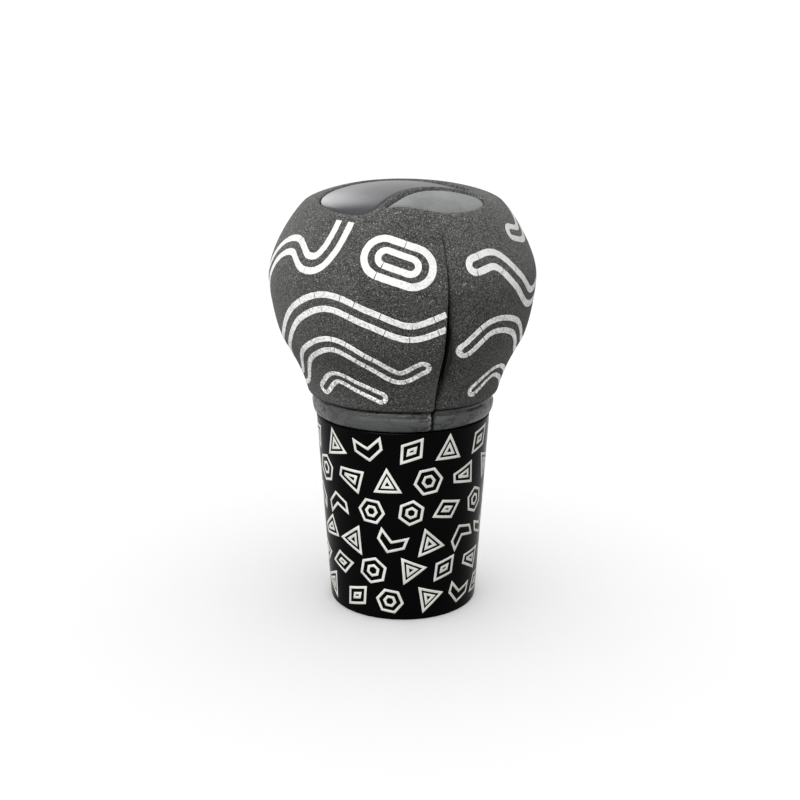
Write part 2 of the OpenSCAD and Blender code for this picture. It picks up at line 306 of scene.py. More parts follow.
@dataclass
class Tree:
    """A node tree with short ways to add and join nodes."""

    tree: bpy.types.NodeTree

    def give(self, socket: Link, value: Given) -> None:
        """Joins an input socket to an output socket, or sets it to a number, a vector or a colour.

        Args:
            socket: the input socket.
            value: what it is given.
        """
        if isinstance(value, Link):
            self.tree.links.new(value, socket)
        else:
            socket.default_value = (*value, 1) if socket.type == "RGBA" else value

    def add(self, kind: str, inputs: dict[int | str, Given] | None = None,
            **settings: object) -> bpy.types.Node:
        """Adds a node.

        Args:
            kind: Blender's name for the node.
            inputs: what each input is given, by its number or name.
            settings: values of the node's properties.

        Returns:
            The node.
        """
        node = self.tree.nodes.new(kind)
        for key, value in settings.items():
            setattr(node, key, value)
        for key, value in (inputs or {}).items():
            self.give(node.inputs[key], value)
        return node

    def math(self, kind: str, a: Given, b: Given = 0.0, clamp: bool = False) -> Link:
        """Result of a Math node."""
        return self.add("ShaderNodeMath", {0: a, 1: b}, operation=kind, use_clamp=clamp).outputs[0]

    def mix(self, share: Given, a: Given, b: Given) -> Link:
        """Colour between a and b."""
        return self.add("ShaderNodeMix", {0: share, 6: a, 7: b}, data_type="RGBA").outputs[2]

    def span(self, value: Link, low: float, high: float, to_low: float = 0.0, to_high: float = 1.0) -> Link:
        """Value carried from one span to another, and held at its ends."""
        inputs = {"Value": value, "From Min": low, "From Max": high, "To Min": to_low, "To Max": to_high}
        return self.add("ShaderNodeMapRange", inputs).outputs[0]

    def noise(self, scale: Given, detail: float = 2.0, vector: Link | None = None) -> Link:
        """Noise at a scale in bumps a metre, on the object's own coordinates unless a vector is given."""
        inputs = {"Scale": scale, "Detail": detail, "Roughness": 0.6, "Vector": vector or self.place()}
        return self.add("ShaderNodeTexNoise", inputs).outputs[0]

    def place(self) -> Link:
        """The object's own coordinates."""
        return self.add("ShaderNodeTexCoord").outputs["Object"]

    def axes(self) -> Sequence[Link]:
        """The object's own coordinates, one socket for each axis."""
        return self.add("ShaderNodeSeparateXYZ", {0: self.place()}).outputs


def new_group(name: str, inputs: dict[str, float | Colour],
              outputs: dict[str, str]) -> tuple[Tree, dict[str, Link], dict[str, Link]]:
    """Starts a shader node group.

    Args:
        name: the group's name.
        inputs: name and default of each input, a number or a colour.
        outputs: name and socket kind of each output.

    Returns:
        The group's tree, its input sockets by name, and its output node's sockets by name.
    """
    group = bpy.data.node_groups.new(name, "ShaderNodeTree")
    for key, value in inputs.items():
        kind = "NodeSocketColor" if isinstance(value, tuple) else "NodeSocketFloat"
        socket = group.interface.new_socket(key, in_out="INPUT", socket_type=kind)
        socket.default_value = (*value, 1) if isinstance(value, tuple) else value
    for key, kind in outputs.items():
        group.interface.new_socket(key, in_out="OUTPUT", socket_type=kind)
    tree = Tree(group)
    start, end = tree.add("NodeGroupInput"), tree.add("NodeGroupOutput")
    return tree, {k: start.outputs[k] for k in inputs}, {k: end.inputs[k] for k in outputs}


class Effect(Enum):
    """The effects that materials share, by their groups' names."""

    MOTTLE = "mottle"
    SPECKS = "specks"
    SCUFFS = "scuffs"


def mottle_group() -> bpy.types.NodeTree:
    """Colour that wanders between two shades in soft patches, with a fine grain on top.

    Returns:
        The group. Its outputs are the colour, and the grain as a height.
    """
    defaults = {"Dark": (0.1, 0.1, 0.1), "Light": (0.2, 0.2, 0.2), "Patches": 60.0, "Grain": 2500.0,
                "Grain Share": 0.5}
    kinds = {"Colour": "NodeSocketColor", "Height": "NodeSocketFloat"}
    tree, given, out = new_group(Effect.MOTTLE.value, defaults, kinds)
    patches = tree.span(tree.noise(given["Patches"], 4.0), 0.35, 0.65)
    grain = tree.noise(given["Grain"], 3.0)
    shades = {0: given["Grain Share"], 2: patches, 3: tree.span(grain, 0.3, 0.7)}
    blend = tree.add("ShaderNodeMix", shades).outputs[0]
    tree.give(out["Colour"], tree.mix(blend, given["Dark"], given["Light"]))
    tree.give(out["Height"], grain)
    return tree.tree


def speck_group() -> bpy.types.NodeTree:
    """Small scattered specks: the middles of those cells whose own random value is low enough.

    Returns:
        The group. Its one output is a mask.
    """
    defaults = {"Scale": 1500.0, "Share": 0.05, "Size": 0.35}
    tree, given, out = new_group(Effect.SPECKS.value, defaults, {"Mask": "NodeSocketFloat"})
    cells = tree.add("ShaderNodeTexVoronoi", {"Vector": tree.place(), "Scale": given["Scale"]})
    chosen = tree.add("ShaderNodeSeparateColor", {0: cells.outputs["Color"]}).outputs[0]
    rare = tree.math("LESS_THAN", chosen, given["Share"])
    close = tree.math("LESS_THAN", cells.outputs["Distance"], given["Size"])
    tree.give(out["Mask"], tree.math("MULTIPLY", rare, close))
    return tree.tree


def scuff_group() -> bpy.types.NodeTree:
    """Faint rubbed streaks along one direction, as on handled metal and gloss plastic.

    Returns:
        The group. Its one output is a mask.
    """
    defaults = {"Scale": 200.0, "Stretch": 6.0, "Amount": 0.5}
    tree, given, out = new_group(Effect.SCUFFS.value, defaults, {"Mask": "NodeSocketFloat"})
    stretch = tree.add("ShaderNodeCombineXYZ", {0: 1.0, 1: 1.0, 2: given["Stretch"]}).outputs[0]
    place = tree.add("ShaderNodeVectorMath", {0: tree.place(), 1: stretch}, operation="MULTIPLY").outputs[0]
    streaks = tree.span(tree.noise(given["Scale"], 5.0, place), 0.5, 0.8)
    tree.give(out["Mask"], tree.math("MULTIPLY", streaks, given["Amount"]))
    return tree.tree


GROUPS = {Effect.MOTTLE: mottle_group(), Effect.SPECKS: speck_group(), Effect.SCUFFS: scuff_group()}


def use(tree: Tree, effect: Effect, inputs: dict[str, Given]) -> Sequence[Link]:
    """Places a shared effect in a material with its own values, and gives the effect's outputs."""
    return tree.add("ShaderNodeGroup", inputs, node_tree=GROUPS[effect]).outputs


# Finishes


@dataclass(frozen=True)
class Finish:
    """A finish: a plain surface with a mottled colour and a fine grain, which other finishes build on.

    Patches and grain are in bumps a metre.
    """

    name: str
    dark: Colour
    light: Colour
    roughness: float = 0.5
    metallic: float = 0.0
    specular: float = 0.5
    coat: float = 0.0
    patches: float = 80.0
    grain: float = 2500.0
    grain_share: float = 0.5
    bump: float = 0.1
    bump_depth: float = 0.1 * MM

    @cache
    def material(self) -> bpy.types.Material:
        """Makes the material once, and gives the same one after that.

        Returns:
            The material.
        """
        made = bpy.data.materials.new(self.name)
        made.use_nodes = True
        shader = next(n for n in made.node_tree.nodes if n.type == "BSDF_PRINCIPLED")
        for key, value in {"Roughness": self.roughness, "Metallic": self.metallic,
                           "Specular IOR Level": self.specular, "Coat Weight": self.coat}.items():
            shader.inputs[key].default_value = value
        self.paint(Tree(made.node_tree), shader)
        return made

    def mottle(self, tree: Tree) -> Sequence[Link]:
        """The shared mottle's outputs, with this finish's shades."""
        return use(tree, Effect.MOTTLE, {"Dark": self.dark, "Light": self.light, "Patches": self.patches,
                                         "Grain": self.grain, "Grain Share": self.grain_share})

    def relief(self, tree: Tree, shader: bpy.types.Node, height: Link) -> None:
        """Gives the shader a bump from a height."""
        inputs = {"Height": height, "Strength": self.bump, "Distance": self.bump_depth}
        tree.give(shader.inputs["Normal"], tree.add("ShaderNodeBump", inputs).outputs[0])

    def paint(self, tree: Tree, shader: bpy.types.Node) -> None:
        """Colours the shader and gives it relief.

        Args:
            tree: the material's nodes.
            shader: its Principled BSDF.
        """
        mottle = self.mottle(tree)
        tree.give(shader.inputs["Base Color"], mottle["Colour"])
        self.relief(tree, shader, mottle["Height"])


@dataclass(frozen=True)
class Suede(Finish):
    """Napped suede: soft patches, a fine nap, pale fibre ends, dark pores, a few specks and a sheen.

    The spans are the nap's values over which the pores fade out and the fibre ends come in.
    """

    fibre: Colour = (0.105, 0.105, 0.1)
    pore: Colour = (0.0055, 0.0055, 0.005)
    speck: Colour = (0.14, 0.14, 0.135)
    nap: float = 3900.0
    pore_span: Pair = (0.35, 0.47)
    fibre_span: Pair = (0.55, 0.71)
    fibre_share: float = 0.92
    speck_scale: float = 3400.0
    speck_share: float = 0.05
    speck_size: float = 0.34
    sheen: float = 0.06
    sheen_roughness: float = 0.5

    def paint(self, tree: Tree, shader: bpy.types.Node) -> None:
        """Colours the nap with its fibre ends, pores and specks, and adds the sheen.

        Args:
            tree: the material's nodes.
            shader: its Principled BSDF.
        """
        mottle = self.mottle(tree)
        nap = tree.noise(self.nap)
        pored = tree.mix(tree.span(nap, *self.pore_span, 1.0, 0.0), mottle["Colour"], self.pore)
        napped = tree.mix(tree.span(nap, *self.fibre_span, 0.0, self.fibre_share), pored, self.fibre)
        specks = use(tree, Effect.SPECKS, {"Scale": self.speck_scale, "Share": self.speck_share,
                                           "Size": self.speck_size})
        tree.give(shader.inputs["Base Color"], tree.mix(specks["Mask"], napped, self.speck))
        shader.inputs["Sheen Weight"].default_value = self.sheen
        shader.inputs["Sheen Roughness"].default_value = self.sheen_roughness
        self.relief(tree, shader, tree.math("ADD", mottle["Height"], nap))


@dataclass(frozen=True)
class Foil(Finish):
    """Printed foil: white, with grey wear pits and a painted light that makes it paler, both growing from the
    plain height down to the fully worn one.
    """

    pit: Colour = (0.17, 0.17, 0.165)
    # Painted light: a paler colour mixed in lower down, to lift the lower lines out of their shade.
    painted_light: Colour = (0.75, 0.75, 0.74)
    plain_z: float = 75.0 * MM
    worn_and_painted_light_z: float = 45.0 * MM
    painted_light_share: float = 0.8
    grit: float = 2400.0
    grit_drop: Pair = (0.05, 0.14)
    pit_span: Pair = (0.32, 0.42)
    pit_share: Pair = (0.4, 0.85)

    def paint(self, tree: Tree, shader: bpy.types.Node) -> None:
        """Mixes the pits and, lower down, a paler colour of painted light into the white.

        A pit is where a fine noise, less a drop that grows with the wear, is low.

        Args:
            tree: the material's nodes.
            shader: its Principled BSDF.
        """
        mottle = self.mottle(tree)
        worn = tree.span(tree.axes()[2], self.plain_z, self.worn_and_painted_light_z)
        # Painted light: lower down, the foil is mixed towards a paler colour, which lifts the lower lines out
        # of their shade. The pits below are wear.
        foil_with_painted_light = tree.mix(tree.span(worn, 0.0, 1.0, 0.0, self.painted_light_share), mottle["Colour"], self.painted_light)
        grit = tree.math("SUBTRACT", tree.noise(self.grit, 4.0), tree.span(worn, 0.0, 1.0, *self.grit_drop))
        low = tree.span(grit, *self.pit_span, 1.0, 0.0)
        few = tree.math("MULTIPLY", low, tree.span(worn, 0.0, 1.0, *self.pit_share))
        tree.give(shader.inputs["Base Color"], tree.mix(few, foil_with_painted_light, self.pit))
        self.relief(tree, shader, mottle["Height"])


@dataclass(frozen=True)
class Leather(Finish):
    """Smooth fine-grained leather with soft wrinkles that run along the band, darkened with painted shade,
    and a worn end.
    """

    worn: Colour = (0.16, 0.16, 0.16)
    # Painted shade: the near black that the wrinkles are darkened towards.
    crease: Colour = (0.004, 0.004, 0.004)
    crease_shade_share: float = 0.9
    wrinkle: float = 210.0
    wrinkle_stretch: tuple[float, float, float] = (1.0, 1.0, 2.2)
    wrinkle_width: float = 0.06
    zone: float = 110.0
    zone_span: Pair = (0.3, 0.5)
    end: float = 0.6 * MM
    end_span: Pair = (0.15 * MM, 0.5 * MM)
    fleck: float = 2300.0
    fleck_span: Pair = (0.5, 0.6)
    grain_height: float = 0.35

    def wrinkles(self, tree: Tree) -> Link:
        """Mask of the wrinkles.

        A wrinkle follows the line along which a stretched noise passes its middle value, where a second,
        broader noise is high.

        Args:
            tree: the material's nodes.

        Returns:
            The mask.
        """
        stretched = {"Vector": tree.place(), "Scale": self.wrinkle_stretch}
        place = tree.add("ShaderNodeMapping", stretched).outputs[0]
        line = tree.math("ABSOLUTE", tree.math("SUBTRACT", tree.noise(self.wrinkle, 3.0, place), 0.5))
        where = tree.span(tree.noise(self.zone, 1.0), *self.zone_span)
        return tree.math("MULTIPLY", tree.span(line, 0.0, self.wrinkle_width, 1.0, 0.0), where)

    def flecks(self, tree: Tree) -> Link:
        """Mask of the pale flecks at the band's left end: high noise near the joint, on the front alone.

        Args:
            tree: the material's nodes.

        Returns:
            The mask.
        """
        axes = tree.axes()
        near = tree.span(tree.math("ABSOLUTE", tree.math("ADD", axes[0], self.end)), *self.end_span, 1.0, 0.0)
        front = tree.span(axes[1], 0.0, -MM)
        high = tree.span(tree.noise(self.fleck), *self.fleck_span)
        return tree.math("MULTIPLY", high, tree.math("MULTIPLY", near, front))

    def paint(self, tree: Tree, shader: bpy.types.Node) -> None:
        """Colours the leather, with painted shade that darkens its wrinkles, which are also sunk, and its
        worn end paler.

        Args:
            tree: the material's nodes.
            shader: its Principled BSDF.
        """
        mottle, wrinkles = self.mottle(tree), self.wrinkles(tree)
        # Painted shade: the wrinkles are darkened towards a near black.
        crease_shaded = tree.mix(tree.math("MULTIPLY", wrinkles, self.crease_shade_share), mottle["Colour"], self.crease)
        tree.give(shader.inputs["Base Color"], tree.mix(self.flecks(tree), crease_shaded, self.worn))
        grain = tree.math("MULTIPLY", mottle["Height"], self.grain_height)
        self.relief(tree, shader, tree.math("SUBTRACT", grain, wrinkles))


@dataclass(frozen=True)
class Handled(Finish):
    """A smooth finish whose gloss is rubbed in faint streaks."""

    rubbed: float = 0.15
    stretch: float = 6.0
    scale: float = 200.0

    def paint(self, tree: Tree, shader: bpy.types.Node) -> None:
        """Colours the surface and roughens it along the streaks.

        Args:
            tree: the material's nodes.
            shader: its Principled BSDF.
        """
        super().paint(tree, shader)
        streaks = {"Scale": self.scale, "Stretch": self.stretch, "Amount": self.rubbed}
        scuffs = use(tree, Effect.SCUFFS, streaks)
        tree.give(shader.inputs["Roughness"], tree.math("ADD", scuffs["Mask"], self.roughness, clamp=True))


SUEDE = Suede("napped_suede", (0.0125, 0.0124, 0.012), (0.047, 0.0466, 0.0446), 0.95, specular=0.1,
              patches=90.0, grain=1500.0, grain_share=0.7, bump=0.7, bump_depth=0.3 * MM)
FOIL = Foil("white_foil", (0.26, 0.26, 0.256), (0.34, 0.34, 0.335), 0.6, specular=0.3, patches=300.0,
            grain=3200.0, bump=0.3, bump_depth=0.05 * MM)
BAND_LEATHER = Leather("grained_leather", (0.024, 0.0245, 0.0245), (0.046, 0.0472, 0.0472), 0.34,
                       specular=0.28, patches=260.0, grain=2600.0, bump=0.7, bump_depth=0.14 * MM)
COLLAR_BLACK = Handled("gloss_black", (0.0006, 0.0006, 0.0007), (0.001, 0.001, 0.0011), 0.2, specular=0.02,
                       grain=900.0, bump=0.02, bump_depth=0.02 * MM, rubbed=0.08)
PRINT_WHITE = Finish("white_print", (0.3, 0.3, 0.28), (0.42, 0.42, 0.395), 0.5, specular=0.2, patches=250.0,
                     grain=2600.0, grain_share=0.35, bump=0.1, bump_depth=0.03 * MM)
INLAY_GLOSS = Handled("gloss_inlay", (0.064, 0.064, 0.068), (0.082, 0.082, 0.087), 0.36, metallic=0.85,
                      patches=90.0, grain=1500.0, grain_share=0.2, bump=0.02, bump_depth=0.02 * MM,
                      rubbed=0.06, stretch=1.0)
INLAY_SATIN = Handled("satin_inlay", (0.2, 0.205, 0.205), (0.29, 0.295, 0.295), 0.5, metallic=0.8,
                      patches=160.0, grain=1500.0, grain_share=0.3, bump=0.08, bump_depth=0.05 * MM,
                      rubbed=0.12, stretch=1.0)
TURNED_METAL = Handled("turned_metal", (0.5, 0.5, 0.51), (0.66, 0.66, 0.67), 0.3, metallic=1.0, grain=700.0,
                       grain_share=0.3, bump=0.05, bump_depth=0.03 * MM, rubbed=0.2, stretch=14.0,
                       scale=160.0)
CORE_PLASTIC = Finish("moulded_core", (0.015, 0.015, 0.0155), (0.022, 0.022, 0.023), 0.8, specular=0.02,
                      grain=1800.0, bump=0.2, bump_depth=0.06 * MM)
BUSH_PLASTIC = Finish("moulded_bush", (0.012, 0.012, 0.013), (0.02, 0.02, 0.022), 0.5, grain=1800.0,
                      bump=0.15, bump_depth=0.05 * MM)
RING_RUBBER = Finish("black_rubber", (0.01, 0.01, 0.01), (0.016, 0.016, 0.016), 0.7, grain=2600.0,
                     bump=0.2, bump_depth=0.04 * MM)
SCREW_STEEL = Handled("black_steel", (0.06, 0.06, 0.065), (0.1, 0.1, 0.105), 0.35, metallic=1.0,
                      grain=1500.0, bump=0.06, bump_depth=0.02 * MM, rubbed=0.2)
FLOOR_WHITE = Finish("white_floor", (0.96, 0.96, 0.96), (0.97, 0.97, 0.97), 0.8, specular=0.1, patches=4.0,
                     grain=60.0, bump=0.0)


def dress(piece: bpy.types.Object, finish: Finish, body: str, *nodes: str) -> bpy.types.Object:
    """Gives a new piece its material and slot, puts it on a body and lets it stand for nodes.

    Args:
        piece: the new object.
        finish: its finish.
        body: the body that it moves with.
        nodes: the frame's nodes that it replaces.

    Returns:
        The piece.
    """
    piece.data.materials.clear()
    piece.data.materials.append(finish.material())
    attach(piece, body)
    if nodes:
        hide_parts(*nodes)
    LOG.info("%s: %d faces on %s", piece.name, len(piece.data.polygons), body)
    return piece


# The head


@dataclass(frozen=True)
class SeamEdge:
    """A panel's rolled edge beside a seam, in millimetres, at shares of the run from the neck to the crown.

    The edge starts at the gap from the joint plane and rolls down over its width by its depth. The lift
    raises the panel beside the seam and fades out over the reach.
    """

    gap: tuple[float, ...]
    wide: tuple[float, ...]
    deep: tuple[float, ...]
    lift: tuple[float, ...]
    reach: float
    shares: tuple[float, ...] = (0.03, 0.07, 0.165, 0.27, 0.4, 0.51, 0.56, 0.61)

    def at(self, values: tuple[float, ...], share: Array) -> Array:
        """One of the sizes, in metres, at shares of the run."""
        return np.interp(share, self.shares, values) * MM


CRISP_EDGE = SeamEdge(gap=(0.08, 0.08, 0.1, 0.1, 0.1, 0.08, 0.12, 0.003),
                      wide=(0.45, 0.45, 0.45, 0.45, 0.4, 0.25, 0.2, 0.05),
                      deep=(0.45, 0.45, 0.45, 0.45, 0.4, 0.25, 0.2, 0.05),
                      lift=(0.3, 0.3, 0.3, 0.3, 0.25, 0.15, 0.1, 0.0), reach=3.2)
SOFT_EDGE = SeamEdge(gap=(0.5, 1.2, 2.5, 1.7, 0.5, 0.22, 0.32, 0.003),
                     wide=(1.6, 2.0, 1.7, 1.7, 1.0, 0.45, 0.3, 0.05),
                     deep=(0.8, 1.1, 1.3, 1.2, 0.7, 0.4, 0.3, 0.05),
                     lift=(-0.3, -0.35, -0.45, -0.4, -0.3, -0.15, -0.1, 0.0), reach=4.2)


@dataclass(frozen=True)
class Span:
    """One Bezier span of the head's outline: how its two ends lean from the level, in degrees, and pull."""

    lean: Pair
    pull: Pair
    steps: int = 160

    def between(self, a: Pair, b: Pair) -> Array:
        """Points of the span, as weights of its ends and of the two points that its ends pull towards.

        Args:
            a: the first end (radius, height).
            b: the last end.

        Returns:
            The points, without the last.
        """
        a, b = np.array(a), np.array(b)
        reach = np.linalg.norm(b - a)
        lean = np.radians(self.lean)
        p = a + self.pull[0] * reach * np.array([np.cos(lean[0]), np.sin(lean[0])])
        q = b - self.pull[1] * reach * np.array([np.cos(lean[1]), np.sin(lean[1])])
        t = (np.arange(self.steps) / self.steps)[:, None]
        return (1 - t)**3 * a + 3 * (1 - t)**2 * t * p + 3 * (1 - t) * t**2 * q + t**3 * b


NECK_TO_CROWN = (Span((82, 61), (0.35, 0.19)), Span((61, 90), (0.28, 0.16)), Span((90, 136), (0.29, 0.24)),
                 Span((136, 180), (0.11, 0.53)))


@dataclass(frozen=True)
class HeadSurface:
    """The head's turned outline, with every way in which the suede rises or dips.

    A place on it is an angle round the axis, and a run along the outline from the neck edge up to the
    crown. The flank and the shoulder are in shares of the outline's width and height between the stations
    beside them.
    """

    head_r: float
    neck_z: float
    neck_r: float = 18.85 * MM
    widest_up: float = 23.3 * MM
    crown_up: float = 18.05 * MM
    flank: Pair = (0.64, 0.47)
    shoulder: Pair = (0.73, 0.215)
    field_in: float = 6.0 * MM
    crown_turn: float = math.radians(-18)
    inlay_gap: float = 0.2 * MM
    inlay_round: float = 0.75 * MM
    hem_round: float = 1.0 * MM
    swell: float = 0.07 * MM
    left_edge: SeamEdge = CRISP_EDGE
    right_edge: SeamEdge = SOFT_EDGE

    @classmethod
    def from_frame(cls) -> "HeadSurface":
        """The surface at the size and height of the frame's left cover."""
        low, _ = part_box("cover_left")
        return cls(head_r=-low.x, neck_z=low.z)

    @property
    def widest_z(self) -> float:
        """Height at which the head is widest."""
        return self.neck_z + self.widest_up

    def crown_share_z(self, share: float) -> float:
        """Height at a share of the way from the widest place up to the crown."""
        return self.widest_z + share * self.crown_up

    @cached_property
    def outline(self) -> Array:
        """Points (radius, height) of the spans between five stations, from the neck to the crown."""
        crown_z = self.widest_z + self.crown_up
        flank_r = self.neck_r + self.flank[0] * (self.head_r - self.neck_r)
        stations = ((self.neck_r, self.neck_z), (flank_r, self.neck_z + self.flank[1] * self.widest_up),
                    (self.head_r, self.widest_z),
                    (self.shoulder[0] * self.head_r, crown_z - self.shoulder[1] * self.crown_up),
                    (0.0, crown_z))
        spans = [span.between(a, b) for span, a, b in zip(NECK_TO_CROWN, stations, stations[1:])]
        return np.concatenate([*spans, np.array(stations[-1:])])

    @cached_property
    def runs(self) -> Array:
        """Run along the outline at each of its points."""
        return lengths(self.outline)

    @cached_property
    def slopes(self) -> Array:
        """Direction (outwards, upwards) of the outline at each of its points."""
        return unit(np.gradient(self.outline, axis=0))

    def profile(self, run: Array, depth: Array | float = 0.0) -> tuple[Array, Array]:
        """The outline at a run, moved inwards square to itself.

        Args:
            run: runs along the outline.
            depth: how far inwards.

        Returns:
            Radius and height at each run.
        """
        columns = (*self.outline.T, *self.slopes.T)
        r, z, dr, dz = (np.interp(run, self.runs, column) for column in columns)
        return r - depth * dz, z + depth * dr

    def run_at_height(self, z: float) -> float:
        """Run at which the outline reaches a height."""
        return float(np.interp(z, self.outline[:, 1], self.runs))

    def leaf(self, leaf: Leaf, grow: float = 0.0, steps: int = 14) -> Array:
        """Plan outline of an inlay.

        Args:
            leaf: the inlay.
            grow: how far the outline is moved outwards.
            steps: points from one of its corners to the next.

        Returns:
            The outline's points, anticlockwise.
        """
        corners = np.array(leaf.value) @ rotation(self.crown_turn)
        return grown(smooth_loop((self.head_r - self.field_in) * corners, steps), grow)

    def seam(self, size: str, angle: Array | float, run: Array) -> Array:
        """One of the seam edges' sizes, the left panel's where the angle is on the left.

        Args:
            size: name of the size.
            angle: angles round the axis.
            run: runs along the outline.

        Returns:
            The size at each place.
        """
        share = run / self.runs[-1]
        left, right = (edge.at(getattr(edge, size), share) for edge in (self.left_edge, self.right_edge))
        return np.where(np.sin(angle) < 0, left, right)

    def roll(self, angle: Array, run: Array) -> Array:
        """How deep a panel's edge rolls into the seam: a quarter of an ellipse that starts at the gap.

        Args:
            angle: angles round the axis.
            run: runs along the outline.

        Returns:
            The depth at each place.
        """
        r, _ = self.profile(run)
        beside = np.abs(r * np.sin(angle)) - self.seam("gap", angle, run)
        wide = self.seam("wide", angle, run)
        return quarter_round(np.maximum(beside, 0), wide) * self.seam("deep", angle, run) / wide

    def puff(self, angle: Array, run: Array) -> Array:
        """Height of the padding's swellings.

        Broad sine waves fade out at the neck and the crown. Beside the seams a bell curve adds each
        panel's lift: the left one stands a little proud, and the right one dips over a wider strip.

        Args:
            angle: angles round the axis.
            run: runs along the outline.

        Returns:
            The height at each place.
        """
        up = run / self.runs[-1]
        broad = self.swell * waves(3 * angle + 4 * up, 5 * angle - 7 * up + 1.3, 9 * angle + 11 * up + 0.4)
        r, _ = self.profile(run)
        side = r * np.sin(angle)
        reach = np.where(side < 0, self.left_edge.reach, self.right_edge.reach) * MM
        step = self.seam("lift", angle, run) * np.exp(-(side / reach)**2)
        return broad * np.sin(np.pi * np.clip(up, 0, 1)) + step

    def groove(self, angle: Array, run: Array) -> Array:
        """How deep the suede's edge rolls down beside the inlays, as a quarter circle.

        Args:
            angle: angles round the axis, in one row.
            run: runs along the outline, in one row.

        Returns:
            The depth at each place.
        """
        bare = self.place(angle, run, 0.0)
        deep = np.zeros(len(bare))
        near = bare[:, 2] > self.crown_share_z(0.4)
        for leaf in Leaf:
            away = signed_distance(bare[near, :2], self.leaf(leaf, self.inlay_gap, 6))
            deep[near] = np.maximum(deep[near], quarter_round(np.maximum(away, 0), self.inlay_round))
        return deep

    def point(self, angle: Array, run: Array, lift: Array | float = 0.0) -> Array:
        """Point on the suede: the outline, plus its swellings and a lift, less its rolled edges.

        Args:
            angle: angles round the axis, in one row.
            run: runs along the outline, in one row.
            lift: height above the suede.

        Returns:
            The point at each place.
        """
        dip = self.roll(angle, run) + self.groove(angle, run)
        dip = dip + quarter_round(np.maximum(run, 0), self.hem_round)
        return self.place(angle, run, dip - self.puff(angle, run) - lift)

    def place(self, angle: Array, run: Array, depth: Array | float) -> Array:
        """Point at a depth below the bare outline."""
        r, z = self.profile(run, depth)
        return turned(r, angle, z)

    def headings(self, path: Array) -> tuple[Array, Array]:
        """Radii and directions along a path on the head, where a step in angle counts as the radius times it.

        Args:
            path: places (angle, run) in order.

        Returns:
            The radius at each place, and the path's direction (round, up) there.
        """
        r, _ = self.profile(path[:, 1])
        along = np.gradient(path, axis=0)
        return r, unit(np.stack([along[:, 0] * r, along[:, 1]], -1))


